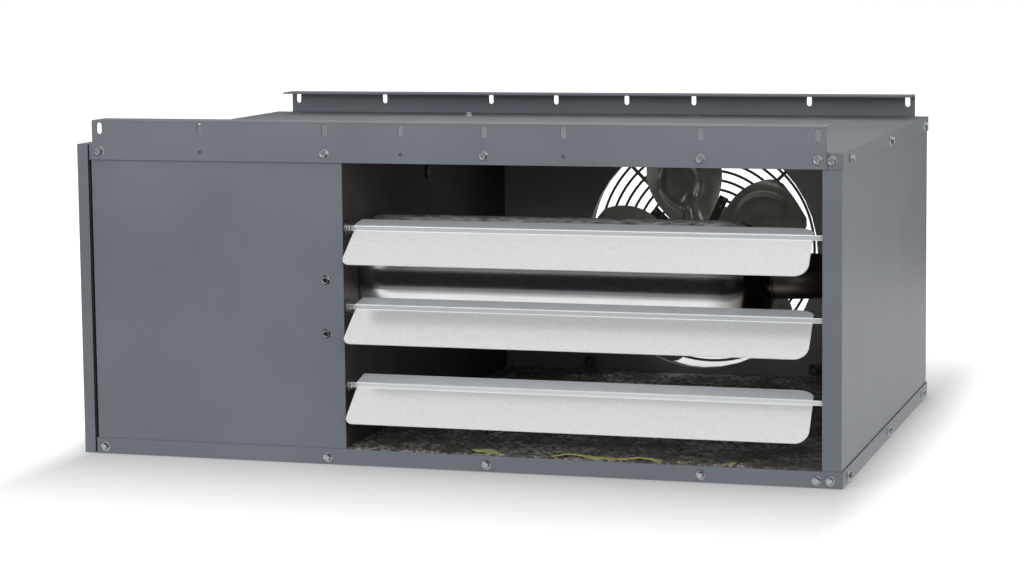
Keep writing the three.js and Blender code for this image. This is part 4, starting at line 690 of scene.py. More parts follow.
def loop(bm, points):
    """Adds a closed loop of edges through points in millimetres."""
    verts = [bm.verts.new(Vector(point) * MM) for point in points]
    return [bm.edges.new((verts[i], verts[(i + 1) % len(verts)])) for i in range(len(verts))]


def slot_points(x, z, width, height, y, steps=16):
    """The outline of an upright slot with round ends, in the plane across Y."""
    half = (height - width) / 2
    points = []
    for i in range(steps):
        angle = 2 * pi * (i + 0.5) / steps
        rise = half if sin(angle) > 0 else -half
        points.append((x + width / 2 * cos(angle), y, z + rise + width / 2 * sin(angle)))
    return points


def bracket(node, side):
    """A slotted ceiling bracket. side is -1 in front and 1 behind."""
    low, high = corners(node)
    outer = low.y if side < 0 else high.y
    inner = outer - side * BRACKET_SHEET
    bm = bmesh.new()
    outline = ((low.x, low.z), (high.x, low.z), (high.x, high.z), (low.x, high.z))
    edges = loop(bm, [(x, inner, z) for x, z in outline])
    first, last = low.x + SLOT_FROM_END, high.x - SLOT_FROM_END
    for share in SLOT_SHARES:
        x = first + (last - first) * share
        edges += loop(bm, slot_points(x, high.z - SLOT_BELOW_TOP, SLOT_WIDTH, SLOT_HEIGHT, inner))
    for share in SPARE_SHARES:
        x = first + (last - first) * share
        edges += loop(bm, slot_points(x, low.z + SPARE_ABOVE_EDGE, SPARE_WIDTH, SPARE_WIDTH, inner, 12))
    bmesh.ops.triangle_fill(bm, edges=edges, use_beauty=True, use_dissolve=False)
    grown = bmesh.ops.extrude_face_region(bm, geom=bm.faces[:])["geom"]
    bmesh.ops.translate(bm, verts=new_verts(grown), vec=(0, side * BRACKET_SHEET * MM, 0))
    flange_centre = ((low.x + high.x) / 2, (low.y + high.y) / 2, high.z - BRACKET_SHEET / 2)
    block_into(bm, (high.x - low.x, high.y - low.y, BRACKET_SHEET), flange_centre)
    bmesh.ops.recalc_face_normals(bm, faces=bm.faces)
    on_fold = {v for v in bm.verts if hypot(v.co.z - high.z * MM, v.co.y - outer * MM) < WELD_DISTANCE}
    fold = [e for e in bm.edges if on_fold.issuperset(e.verts)]
    round_edges(bm, fold, BEND_RADIUS, segments=4)
    round_edges(bm, sharp_edges(bm), RIM_ROUNDING)
    piece = finish_mesh(bm, node + "_soft", "baked_polyester_paint", "case")
    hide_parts(node)


bracket("front_bracket", -1)
bracket("rear_bracket", 1)
print("made two brackets with", len(SLOT_SHARES), "slots each")

# %% [markdown]
# ## Sheet-metal screws
# Every lap is held by hexagon washer-headed screws: a round washer forged onto a small hexagon with a
# shallow dish in its top. Each screw is made from two cones and turned a little further than the one before
# it. The places come from the photograph, row by row, and the rows that it doesn't show repeat the ones it
# does.

# %% Screws
WASHER_RADIUS = 5.7
WASHER_TAPER = 0.86
WASHER_THICK = 1.0
HEX_RADIUS = 4.1
HEX_FOOT = 0.4
HEX_ROUNDING = 0.3
HEAD_HEIGHT = 4.1
DISH_RIM = 0.75
DISH_DEPTH = 0.7
TURN_BETWEEN = 23


def screw_into(bm):
    """One screw head at the origin, its seat at z = 0 and its head towards +Z. Returns its vertices."""
    before = set(bm.verts)
    washer = bmesh.ops.create_cone(
        bm,
        cap_ends=True,
        segments=20,
        radius1=WASHER_RADIUS * MM,
        radius2=WASHER_RADIUS * WASHER_TAPER * MM,
        depth=WASHER_THICK * MM,
    )["verts"]
    bmesh.ops.translate(bm, verts=washer, vec=(0, 0, WASHER_THICK / 2 * MM))
    hexagon = bmesh.ops.create_cone(
        bm,
        cap_ends=True,
        segments=6,
        radius1=HEX_RADIUS * MM,
        radius2=HEX_RADIUS * MM,
        depth=(HEAD_HEIGHT - HEX_FOOT) * MM,
    )["verts"]
    bmesh.ops.translate(bm, verts=hexagon, vec=(0, 0, (HEAD_HEIGHT + HEX_FOOT) / 2 * MM))
    top = max((f for v in hexagon for f in v.link_faces), key=lambda f: f.calc_center_median().z)
    bmesh.ops.inset_region(bm, faces=[top], thickness=DISH_RIM * MM, depth=0.0)
    bmesh.ops.translate(bm, verts=top.verts, vec=(0, 0, -DISH_DEPTH * MM))
    edges = {e for v in hexagon for e in v.link_edges if e.calc_face_angle(0) > radians(25)}
    round_edges(bm, list(edges), HEX_ROUNDING)
    return [v for v in bm.verts if v not in before]


def screws(name, places, outward):
    """Screw heads at the places in millimetres, each seated on a face whose outward normal is given."""
    bm = bmesh.new()
    facing = Vector(outward).to_track_quat("Z", "Y").to_matrix().to_4x4()
    for k, place in enumerate(places):
        verts = screw_into(bm)
        turned = Matrix.Rotation(radians(TURN_BETWEEN * k), 4, "Z")
        moved = Matrix.Translation(Vector(place) * MM) @ facing @ turned
        bmesh.ops.transform(bm, matrix=moved, verts=verts)
    finish_mesh(bm, name, "bright_zinc_plating", "case", smooth_angle=40)
    return len(places)


case_low, case_high = corners("top_panel")
FRONT, BACK, RIGHT, TOP = case_low.y, case_high.y, case_high.x, case_high.z
BRACKET_FACE = corners("front_bracket")[0].y
BRACKET_SCREW_X = (-411.5, -143.5, 38.5, 275.0, 398.5)
BRACKET_SCREW_Z = 342.5
STILE_SCREW_X, STILE_SCREW_Z = 413.0, 341.7
BOTTOM_SCREW_X = (-415.0, -146.5, 36.5, 273.5, 397.0, 411.5)
BOTTOM_SCREW_Z = 7.5
COVER_SCREW_X, COVER_SCREW_Z = -145.0, (204.0, 145.0)
REAR_SEAM_X, REAR_SEAM_Z = -132.0, (95.0, 190.0, 310.0)
PANEL_SETBACK = 1.5
SIDE_SCREW_Y, SIDE_SCREW_Z = (5.0, 267.0), 341.0
LOW_SIDE_SCREW_Y = (-265.0, 2.0, 263.0)
TOP_SCREW = (-155.0, 245.0, TOP)

front_row = [(x, BRACKET_FACE, BRACKET_SCREW_Z) for x in BRACKET_SCREW_X]
front_row += [(STILE_SCREW_X, FRONT, STILE_SCREW_Z)]
front_row += [(x, FRONT, BOTTOM_SCREW_Z) for x in BOTTOM_SCREW_X]
front_row += [(COVER_SCREW_X, FRONT + PANEL_SETBACK, z) for z in COVER_SCREW_Z]
rear_row = [(x, -BRACKET_FACE, BRACKET_SCREW_Z) for x in BRACKET_SCREW_X]
rear_row += [(x, BACK, BOTTOM_SCREW_Z) for x in BOTTOM_SCREW_X]
rear_row += [(REAR_SEAM_X, BACK - PANEL_SETBACK, z) for z in REAR_SEAM_Z]
right_row = [(RIGHT, y, SIDE_SCREW_Z) for y in SIDE_SCREW_Y]
right_row += [(RIGHT, y, BOTTOM_SCREW_Z) for y in LOW_SIDE_SCREW_Y]
seated = screws("front_screws", front_row, (0, -1, 0))
seated += screws("rear_screws", rear_row, (0, 1, 0))
seated += screws("right_screws", right_row, (1, 0, 0))
seated += screws("top_screw", [TOP_SCREW], (0, 0, 1))
soften("flange_screw", "bright_zinc_plating", width_mm=0.25)
print("seated", seated + 1, "screws")

# %% [markdown]
# ## Louvers
# A louver is one strip of bright sheet, folded twice: a narrow upright band at the pivot, an upper wing
# that slopes back, and a lower wing that slopes down and forwards. It is made the way a workshop makes it:
# cut flat, with round corners and a tab at each end, then folded along two lines. Each fold is bent in
# several small steps so that it is round. Each vertex keeps a note of how high it lay in the flat sheet,
# which tells which side of a fold it is on. Last, the sheet gets its thickness. The folds and the upper
# wing get a paler, cooler and smoother copy of the finish, a painted highlight on the folds and a painted
# reflection on the upper wing; the rest gets the plain one.

# %% Louvers
LOUVER_SHEET = 1.2
STRIP = 5.5
UPPER_WING = 24.86
UPPER_ANGLE = degrees(atan2(4.2, 24.5))
LOWER_WING = 45.04
LOWER_ANGLE = degrees(atan2(33.6, 30.0))
TAB_LEFT = corners("louver_top")[0].x
TAB_RIGHT = corners("louver_top")[1].x
BLADE_LEFT = -114.3
BLADE_RIGHT = 391.5
CORNER_LEFT = 8.0
CORNER_RIGHT = 15.0
WING_CORNER = 21.0
FLARE = 4.5
FOLD_RADIUS = 1.8
FOLD_STEPS = 4
SET_ANGLES = {"top": 0, "middle": 0, "bottom": 4}


def arc(cx, cy, radius, start, end, steps=8):
    """Points on an arc, in degrees."""
    angles = [radians(start + (end - start) * i / steps) for i in range(steps + 1)]
    return [(cx + radius * cos(a), cy + radius * sin(a)) for a in angles]


def louver_blank():
    """The flat blank in (x, distance up the sheet from the pivot)."""
    half = STRIP / 2
    low, high = -half - LOWER_WING, half + UPPER_WING
    points = [(TAB_LEFT, half), (TAB_LEFT, -half), (BLADE_LEFT, -half)]
    points += arc(BLADE_LEFT - FLARE + CORNER_LEFT, low + CORNER_LEFT, CORNER_LEFT, 180, 270)
    points += arc(BLADE_RIGHT - CORNER_RIGHT, low + CORNER_RIGHT, CORNER_RIGHT, 270, 360)
    points += [(BLADE_RIGHT, -half), (TAB_RIGHT, -half), (TAB_RIGHT, half), (BLADE_RIGHT, half)]
    points += arc(BLADE_RIGHT - WING_CORNER, high - WING_CORNER, WING_CORNER, 0, 90)
    points += [(BLADE_LEFT, high), (BLADE_LEFT, half)]
    return points


def fold_lines(at, angle, up):
    """The heights of the small bends, in metres up the flat sheet, that make one round fold."""
    length = abs(radians(angle)) * FOLD_RADIUS
    return [(at + up * (length * (i + 0.5) / FOLD_STEPS - length / 2)) * MM for i in range(FOLD_STEPS)]


def at_pivot(which):
    """Where a louver's pivot is and how far its blade is set from upright."""
    pivot = joint_place(f"louver_{which}_tilt")
    moved = Matrix.Translation(Vector((0, pivot.y, pivot.z)) * MM)
    return moved @ Matrix.Rotation(radians(SET_ANGLES[which]), 4, "X")


def louver(which):
    """Cuts, folds and thickens one louver."""
    bm = bmesh.new()
    bm.faces.new([bm.verts.new((x * MM, 0, z * MM)) for x, z in louver_blank()])
    half = STRIP / 2
    folds = ((half, UPPER_ANGLE - 90, 1), (-half, LOWER_ANGLE - 90, -1))
    for fold in folds:
        for line in fold_lines(*fold):
            bmesh.ops.bisect_plane(
                bm,
                geom=bm.verts[:] + bm.edges[:] + bm.faces[:],
                plane_co=(0, 0, line),
                plane_no=(0, 0, 1),
                dist=1e-7,
            )
    flat_height = bm.verts.layers.float.new("flat_z")
    for v in bm.verts:
        v[flat_height] = v.co.z
    for at, angle, up in folds:
        bend = Matrix.Rotation(radians(angle) / FOLD_STEPS, 3, "X")
        for line in reversed(fold_lines(at, angle, up)):
            past = [v for v in bm.verts if up * (v[flat_height] - line) > 1e-7]
            bmesh.ops.rotate(bm, verts=past, cent=(0, 0, line), matrix=bend)
    for face in bm.faces:
        heights = [v[flat_height] / MM for v in face.verts]
        on_upper = min(heights) > half - FOLD_RADIUS
        on_lower = -half - FOLD_RADIUS / 2 < min(heights) and max(heights) < -half + FOLD_RADIUS / 2
        # Slot 1 is the paler copy of the finish: a painted highlight on the folds and a painted reflection on
        # the upper wing.
        face.material_index = 1 if on_upper or on_lower else 0
    bmesh.ops.recalc_face_normals(bm, faces=bm.faces)
    bmesh.ops.solidify(bm, geom=bm.faces[:], thickness=LOUVER_SHEET * MM)
    bmesh.ops.recalc_face_normals(bm, faces=bm.faces)
    bmesh.ops.transform(bm, matrix=at_pivot(which), verts=bm.verts)
    name = "louver_" + which
    finish = "aluminium_coated_sheet"
    piece = finish_mesh(bm, name + "_sheet", finish, name, 30, edge_mm=0.2)
    # Slot 1 holds the painted highlight and painted reflection of the folds and the upper wing.
    piece.data.materials.append(MATERIALS["aluminium_painted_highlight"])
    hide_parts(name)


for which in SET_ANGLES:
    louver(which)
print("folded", len(SET_ANGLES), "louvers")

# %% [markdown]
# ## Louver springs
# Behind each louver's left tab sits a small conical spring. It rubs on the partition with its wide end and
# presses on the blade with its narrow end, so the louver stays where a hand has put it. A spring is a wire
# along a helix, so a curve with a round bevel is the simplest way, made a mesh at once. The helper is used
# again for the guard's arms.

# %% Springs
SPRING_TURNS = 3
SPRING_WIRE_R = 0.6
SPRING_WIDE = 8.1
SPRING_NARROW = 4.0
SPRING_TAPER = 2.2
SPRING_FROM = corners("louver_spring_top")[0].x
SPRING_TO = corners("louver_spring_top")[1].x
SPRING_END_ANGLE = 255
CURL_POINTS = 28


def wire_into(bm, points, radius):
    """A round wire along a path in millimetres, its ends closed."""
    curve = bpy.data.curves.new("wire", "CURVE")
    curve.dimensions = "3D"
    curve.bevel_depth = radius * MM
    curve.bevel_resolution = 3
    curve.use_fill_caps = True
    line = curve.splines.new("POLY")
    line.points.add(len(points) - 1)
    for spot, point in zip(line.points, points):
        spot.co = (*(Vector(point) * MM), 1)
    wire = bpy.data.objects.new("wire", curve)
    bm.from_mesh(wire.to_mesh())
    wire.to_mesh_clear()
    bpy.data.objects.remove(wire)


def spring(which):
    """A conical spring about a louver's pivot, wide at the partition."""
    steps = SPRING_TURNS * CURL_POINTS
    first, last = SPRING_FROM + 2 * SPRING_WIRE_R, SPRING_TO - 2 * SPRING_WIRE_R
    points = []
    for i in range(steps + 1):
        share = i / steps
        angle = radians(SPRING_END_ANGLE + 360 * i / CURL_POINTS)
        radius = SPRING_WIDE + (SPRING_NARROW - SPRING_WIDE) * share**SPRING_TAPER
        points.append(Vector((first + (last - first) * share, radius * cos(angle), radius * sin(angle))))
    points = [Vector((SPRING_FROM, *points[0].yz))] + points + [Vector((SPRING_TO, *points[-1].yz))]
    placed = [at_pivot(which) @ (point * MM) / MM for point in points]
    bm = bmesh.new()
    wire_into(bm, placed, SPRING_WIRE_R)
    bmesh.ops.remove_doubles(bm, verts=bm.verts, dist=WELD_DISTANCE)
    name = "louver_spring_" + which
    piece = finish_mesh(bm, name + "_wire", "spring_steel", "louver_" + which, smooth_angle=50)
    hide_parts(name)


for which in SET_ANGLES:
    spring(which)
print("wound", len(SET_ANGLES), "springs")

# %% [markdown]
# ## Round parts
# Everything that was drawn, spun or turned on a lathe in the factory is spun here too: a half profile goes
# once round its axis with bmesh's spin, in enough steps that its outline stays round. The helper takes the
# profile as pairs of radius and place along the axis.

# %% Lathe helper
AXES = {"x": Vector((1, 0, 0)), "y": Vector((0, 1, 0)), "z": Vector((0, 0, 1))}


def lathe_into(bm, profile, axis, centre, steps=64, closed=True):
    """Spins a profile of (radius, along) about an axis through the centre, all in millimetres."""
    along = AXES[axis]
    out = Vector((0, 0, 1)) if axis != "z" else Vector((1, 0, 0))
    base = Vector(centre)
    base -= along * base.dot(along)
    verts = [bm.verts.new((base + out * r + along * t) * MM) for r, t in profile]
    edges = [bm.edges.new((a, b)) for a, b in zip(verts, verts[1:])]
    if closed:
        edges.append(bm.edges.new((verts[-1], verts[0])))
    bmesh.ops.spin(
        bm,
        geom=verts + edges,
        cent=base * MM,
        axis=along,
        angle=2 * pi,
        steps=steps,
        use_merge=True,
        use_duplicate=False,
    )
    bmesh.ops.remove_doubles(bm, verts=bm.verts, dist=WELD_DISTANCE)
    bmesh.ops.recalc_face_normals(bm, faces=bm.faces)


def lathe(name, node, profile, axis, centre, material, steps=64, closed=True, smooth_angle=35):
    """A spun piece that stands for a node."""
    bm = bmesh.new()
    lathe_into(bm, profile, axis, centre, steps, closed)
    piece = finish_mesh(bm, name, material, body_of(node), smooth_angle)
    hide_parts(node)
    return piece


# %% [markdown]
# ## The combustion drum
# The long cylinder in the air stream is the combustion chamber, rolled from aluminised steel, with a lap
# seam along its front and a shoulder drawn in at its right end. A thinner tube leaves the shoulder, turns
# back on itself and carries the burnt gas behind the drum to the draft fan. The shell is spun, and the
# tube is a ring that is swept round its bend. The polished shell mirrors the dark card in front of it and
# the white room above the card, which shows as one soft band.

# %% Drum and tube
DRUM_LOW, DRUM_HIGH = corners("combustion_drum")
DRUM_Y = (DRUM_LOW.y + DRUM_HIGH.y) / 2
DRUM_Z = (DRUM_LOW.z + DRUM_HIGH.z) / 2
DRUM_R = (DRUM_HIGH.z - DRUM_LOW.z) / 2
DRUM_LEFT = DRUM_LOW.x
DRUM_WALL = 1.5
DRUM_RIM = 0.8
NECK_END = DRUM_HIGH.x
NECK = 3.0
SHOULDER = 42.0
DRUM_END = NECK_END - NECK - SHOULDER
PORT_R = 30.0
TUBE_R = 18.5
TUBE_BEND = 58.0
TUBE_GAP = 0.3
TUBE_LEAD = 6.0


def shoulder(inset, steps=14):
    """The shoulder's profile, from the shell's full width to the neck, moved inwards by inset."""
    points = []
    for i in range(steps + 1):
        angle = pi / 2 * i / steps
        radius = TUBE_R - inset + (DRUM_R - TUBE_R) * cos(angle)
        points.append((radius, DRUM_END + (SHOULDER - inset) * sin(angle)))
    return points


def drum_shell():
    """The drum's outside and inside as one profile, spun."""
    outside = [(PORT_R, DRUM_LEFT), (DRUM_R - DRUM_RIM, DRUM_LEFT), (DRUM_R, DRUM_LEFT + DRUM_RIM)]
    outside += shoulder(0) + [(TUBE_R, NECK_END)]
    inside = [(TUBE_R - DRUM_WALL, NECK_END)] + shoulder(DRUM_WALL)[::-1]
    inside += [(DRUM_R - DRUM_WALL, DRUM_LEFT + DRUM_WALL), (PORT_R, DRUM_LEFT + DRUM_WALL)]
    centre = (0, DRUM_Y, DRUM_Z)
    finish = "aluminised_steel_drum"
    lathe("combustion_drum_shell", "combustion_drum", outside + inside, "x", centre, finish, steps=96)


def return_tube():
    """A circle is spun half a turn about the bend's middle, then both ends are pulled out straight."""
    start = NECK_END + TUBE_GAP
    stop = corners("return_tube")[0].x
    bend_x = start + TUBE_LEAD
    bm = bmesh.new()
    ring = bmesh.ops.create_circle(bm, cap_ends=False, segments=32, radius=TUBE_R * MM)["verts"]
    facing = Matrix.Translation(Vector((bend_x, DRUM_Y, DRUM_Z)) * MM) @ Matrix.Rotation(pi / 2, 4, "Y")
    bmesh.ops.transform(bm, matrix=facing, verts=ring)
    near = list({e for v in ring for e in v.link_edges})
    spun = bmesh.ops.spin(
        bm,
        geom=ring + near,
        cent=Vector((bend_x, DRUM_Y + TUBE_BEND, DRUM_Z)) * MM,
        axis=(0, 0, 1),
        angle=pi,
        steps=32,
        use_merge=False,
        use_duplicate=False,
    )["geom_last"]
    far = [e for e in spun if isinstance(e, bmesh.types.BMEdge)]
    for edges, reach in ((near, start - bend_x), (far, stop - bend_x)):
        grown = bmesh.ops.extrude_edge_only(bm, edges=edges)["geom"]
        bmesh.ops.translate(bm, verts=new_verts(grown), vec=(reach * MM, 0, 0))
    bmesh.ops.remove_doubles(bm, verts=bm.verts, dist=WELD_DISTANCE)
    bmesh.ops.recalc_face_normals(bm, faces=bm.faces)
    bmesh.ops.solidify(bm, geom=bm.faces[:], thickness=DRUM_WALL * MM)
    bmesh.ops.recalc_face_normals(bm, faces=bm.faces)
    piece = finish_mesh(bm, "return_tube_bend", "heat_tinted_steel", "case", 40)
    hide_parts("return_tube")


SEAM_WIDTH = 2.2
SEAM_THICK = 0.5
SEAM_SUNK = 0.3
SEAM_TILT = radians(9)


def drum_seam():
    """The flat lap strip along the drum's front, a little above its middle."""
    bm = bmesh.new()
    strip = block_into(bm, (DRUM_END - DRUM_LEFT - 2, SEAM_THICK, SEAM_WIDTH), (0, 0, 0))
    lift = DRUM_R + SEAM_THICK / 2 - SEAM_SUNK
    middle = (DRUM_LEFT + DRUM_END) / 2
    place = Vector((middle, DRUM_Y - lift * cos(SEAM_TILT), DRUM_Z + lift * sin(SEAM_TILT)))
    moved = Matrix.Translation(place * MM) @ Matrix.Rotation(-SEAM_TILT, 4, "X")
    bmesh.ops.transform(bm, matrix=moved, verts=strip)
    round_edges(bm, sharp_edges(bm), 0.35)
    finish_mesh(bm, "drum_seam", "aluminised_steel_drum", "case")


def circle_profile(radius, along, wire, count=10):
    """A small circle as a profile, for a ring of round wire or a weld bead."""
    angles = [2 * pi * i / count for i in range(count)]
    return [(radius + wire * sin(a), along + wire * cos(a)) for a in angles]


def neck_weld():
    """The bead where the return tube is welded to the drum's neck."""
    bm = bmesh.new()
    lathe_into(bm, circle_profile(TUBE_R, NECK_END + 0.2, 1.6), "x", (0, DRUM_Y, DRUM_Z), steps=48)
    finish_mesh(bm, "neck_weld", "heat_tinted_steel", "case")


drum_shell()
return_tube()
drum_seam()
neck_weld()
print("spun a drum", DRUM_R * 2, "mm across and bent its tube")

# %% [markdown]
# ## Fan wheel
# The fan is pressed from thin aluminium: five broad blades on a black spider, each with a rounded tip, a
# pitch, and an oval rib pressed into it for stiffness. Near the hub each blade's root is creased where it
# folds into the spider. Each blade starts as a grid that is bent into place point by point, which gives it
# the pitch, the camber and the ribs in one go, and it gets its thickness afterwards. The hub's disc and
# boss and all the rivets are spun.

# %% Fan wheel
FAN_X, FAN_Y, FAN_Z = joint_place("fan_spin")
BLADES = 5
FIRST_BLADE = 29.0
ROOT_R = 16.0
TIP_R = 143.0
BLADE_PITCH = radians(-24)
HALF_ROOT = 12.0
HALF_WIDE = 51.0
WIDEST_AT = 0.78
SWELL = 1.3
TIP_SHARE = 0.56
TIP_SQUARENESS = 8
CAMBER = 6.0
FAN_SHEET = 1.4
CREASES_TO = 0.46
CREASE_SPREAD = 0.75
CREASE_WIDTH = 0.14
CREASE_DEEP = 5.0
RIB_AT = (0.60, 0.12)
RIB_SIZE = (0.26, 0.55)
RIB_WIDTH = 0.2
RIB_DEEP = 2.6
BLADE_RIVETS_R = 29
BLADE_RIVETS_SPREAD = 0.28


def blade_half_width(u):
    """Half the blade's width at a share u of its length, as in the measured solid."""
    swell = sin(pi / 2 * min(u / WIDEST_AT, 1) ** SWELL)
    tip = max(1 - u**TIP_SQUARENESS, 0) ** 0.5
    return (HALF_ROOT + (HALF_WIDE - HALF_ROOT) * swell) * (TIP_SHARE + (1 - TIP_SHARE) * tip)


def pressed(u, v):
    """The relief of a blade: three creases that fan out to its root, and a shallow oval rib beyond them."""
    spread = max(0.0, 1 - u / CREASES_TO)
    lines = (-CREASE_SPREAD * spread, 0, CREASE_SPREAD * spread)
    creases = sum(max(0.0, 1 - abs(v - line) / CREASE_WIDTH) for line in lines)
    oval = hypot((u - RIB_AT[0]) / RIB_SIZE[0], (v - RIB_AT[1]) / RIB_SIZE[1])
    rib = max(0.0, 1 - abs(oval - 1) / RIB_WIDTH)
    return CREASE_DEEP * creases * min(1.0, 2.5 * spread) + RIB_DEEP * rib


def blade(bm, turn_by):
    """One blade, bent from a grid. u runs from root to tip and v across the blade, from -1 to 1."""
    grid = bmesh.ops.create_grid(bm, x_segments=32, y_segments=40, size=1.0)["verts"]
    for vert in grid:
        u, v = (vert.co.y + 1) / 2, vert.co.x
        radius = ROOT_R + (TIP_R - ROOT_R) * u
        across = v * blade_half_width(u)
        angle = turn_by + across * cos(BLADE_PITCH) / radius
        along = across * sin(BLADE_PITCH) - CAMBER * (1 - v * v) * u + FAN_SHEET / 2 - pressed(u, v)
        spot = Vector((FAN_X + radius * cos(angle), FAN_Y + along, FAN_Z + radius * sin(angle)))
        vert.co = spot * MM
    faces = list({f for v in grid for f in v.link_faces})
    bmesh.ops.recalc_face_normals(bm, faces=faces)
    bmesh.ops.solidify(bm, geom=faces, thickness=FAN_SHEET * 0.7 * MM)


def fan_wheel():
    """The blades with their hub and the rivets that hold them to it."""
    bm = bmesh.new()
    turns = [radians(FIRST_BLADE) + 2 * pi * k / BLADES for k in range(BLADES)]
    for turn_by in turns:
        blade(bm, turn_by)
    y = FAN_Y
    disc = [(5, y - 3), (20, y - 3.6), (30, y - 2.6), (38, y - 1.5), (38, y + 1.5), (5, y + 3)]
    lathe_into(bm, disc, "y", (FAN_X, y, FAN_Z), steps=48)
    boss = [(4.3, y - 11), (11.2, y - 11), (12, y - 10.2), (12, y + 10.2), (11.2, y + 11), (4.3, y + 11)]
    lathe_into(bm, boss, "y", (FAN_X, y, FAN_Z), steps=40)
    head = [(0.01, y - 5.2), (1.8, y - 4.9), (2.8, y - 3.8), (2.8, y - 1), (0.01, y - 1)]
    for turn_by in turns:
        for spread in (-BLADE_RIVETS_SPREAD, BLADE_RIVETS_SPREAD):
            out = Vector((cos(turn_by + spread), 0, sin(turn_by + spread)))
            lathe_into(bm, head, "y", Vector((FAN_X, y, FAN_Z)) + out * BLADE_RIVETS_R, steps=12)
    piece = finish_mesh(bm, "fan_wheel_pressing", "pressed_aluminium_fan", "fan_rotor", 45)
    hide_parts("fan_wheel")


SPIDER_STOPS = ((30, 7), (52, 5.5), (66, 5.5), (80, 6))
SPIDER_LEAN = Vector((0, -4.0 / 80, 0))
SPIDER_RIVETS = (67, 77)
SPIDER_SHEET = 1.6


def fan_spider():
    """Black arms between the blades' roots, each with two bright rivets. They lean towards the front."""
    arms, rivets = bmesh.new(), bmesh.new()
    hub = Vector((FAN_X, FAN_Y - 1.5, FAN_Z))
    for k in range(BLADES):
        angle = radians(FIRST_BLADE + 360 / BLADES * (k + 0.5))
        out = Vector((cos(angle), 0, sin(angle)))
        side = Vector((-sin(angle), 0, cos(angle)))
        rows = []
        for r, half_width in SPIDER_STOPS:
            spot = hub + (out + SPIDER_LEAN) * r
            rows.append([arms.verts.new((spot + side * half_width * way) * MM) for way in (-1, 1)])
        for (a, b), (d, c) in zip(rows, rows[1:]):
            arms.faces.new((a, b, c, d))
        for r in SPIDER_RIVETS:
            spot = hub + (out + SPIDER_LEAN) * r
            y = spot.y
            head = [(0.01, y - 2.6), (1.6, y - 2.4), (2.4, y - 1.6), (2.4, y), (0.01, y)]
            lathe_into(rivets, head, "y", spot, steps=12)
    bmesh.ops.recalc_face_normals(arms, faces=arms.faces)
    bmesh.ops.solidify(arms, geom=arms.faces[:], thickness=SPIDER_SHEET * MM)
    finish_mesh(arms, "fan_spider", "satin_black_enamel", "fan_rotor")
    finish_mesh(rivets, "fan_rivets", "bright_zinc_plating", "fan_rotor", 40)


fan_wheel()
fan_spider()
soften("fan_shaft", "bright_zinc_plating", width_mm=0.4)
print("pressed a fan of", BLADES, "blades")

# %% [markdown]
# ## Fan guard and motor
# Behind the fan, a guard of concentric steel wires is welded to four diagonal arms. The arms end in flat
# eyes that are bolted to the rear panel at the corners of the orifice, and they also carry the motor. The
# rings are spun from a small circle, and the arms are wires along short bent paths.

# %% Guard
WIRE_R = 1.3
SEEN_WIRE_R = 1.8
ARM_R = 2.3
GUARD_Y = corners("fan_guard")[1].y - WIRE_R - ARM_R
RING_COUNT = 9
RING_PITCH = 12.0
RING_INNER = 64.0
EYE_SPREAD = 147.0
EYE_FRONT = BACK - 1.2
EYE_THICK = 3.0
EYE_R = 8.0
EYE_HOLE_R = 3.4
EYE_ROUNDING = 0.4
ARM_FOOT_Y = EYE_FRONT + ARM_R
ARM_STOPS = (
    (47, GUARD_Y),
    (169, GUARD_Y),
    (173, GUARD_Y - 2),
    (175, GUARD_Y - 6),
    (190, ARM_FOOT_Y + 5),
    (192, ARM_FOOT_Y + 1),
    (195, ARM_FOOT_Y),
    (EYE_SPREAD * 2**0.5 - 6.3, ARM_FOOT_Y),
)


def fan_guard():
    """Nine rings, four bent arms and an eye at the end of each arm."""
    bm = bmesh.new()
    for k in range(RING_COUNT):
        ring = circle_profile(RING_INNER + k * RING_PITCH, GUARD_Y + ARM_R, SEEN_WIRE_R)
        lathe_into(bm, ring, "y", (FAN_X, 0, FAN_Z), steps=96)
    near, far = EYE_FRONT, EYE_FRONT + EYE_THICK
    eye = [(EYE_HOLE_R, near), (EYE_R - EYE_ROUNDING, near), (EYE_R, near + EYE_ROUNDING)]
    eye += [(EYE_R, far - EYE_ROUNDING), (EYE_R - EYE_ROUNDING, far), (EYE_HOLE_R, far)]
    for right in (-1, 1):
        for up in (-1, 1):
            unit = Vector((right, 0, up)).normalized()
            path = [(FAN_X + unit.x * r, y, FAN_Z + unit.z * r) for r, y in ARM_STOPS]
            wire_into(bm, path, ARM_R)
            centre = (FAN_X + right * EYE_SPREAD, 0, FAN_Z + up * EYE_SPREAD)
            lathe_into(bm, eye, "y", centre, steps=28)
    piece = finish_mesh(bm, "fan_guard_wires", "satin_black_enamel", "case", 40)
    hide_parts("fan_guard")


NUT_WIDTH = 15.2
NUT_THICK = 5.0
NUT_ROUND = 3.5
NUT_RIM = 0.8


def square_nut(k):
    """A square nut with round corners and a pressed collar round its bolt."""
    low, high = corners(f"guard_nut_{k}")
    x, z = (low.x + high.x) / 2, (low.z + high.z) / 2
    bm = bmesh.new()
    block_into(bm, (NUT_WIDTH, NUT_THICK, NUT_WIDTH), (x, high.y - NUT_THICK / 2, z))
    upright = [e for e in bm.edges if abs(e.verts[0].co.y - e.verts[1].co.y) > MM]
    round_edges(bm, upright, NUT_ROUND, segments=5)
    round_edges(bm, sharp_edges(bm), NUT_RIM, segments=3)
    front = high.y - NUT_THICK
    collar = [(3.3, front + 1), (3.3, low.y + 0.5), (3.8, low.y), (4.6, low.y), (5.4, front - 0.6)]
    lathe_into(bm, collar + [(5.6, front + 1)], "y", (x, 0, z), steps=28)
    piece = finish_mesh(bm, f"guard_nut_{k}_square", "blackened_steel", "case")
    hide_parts(f"guard_nut_{k}")


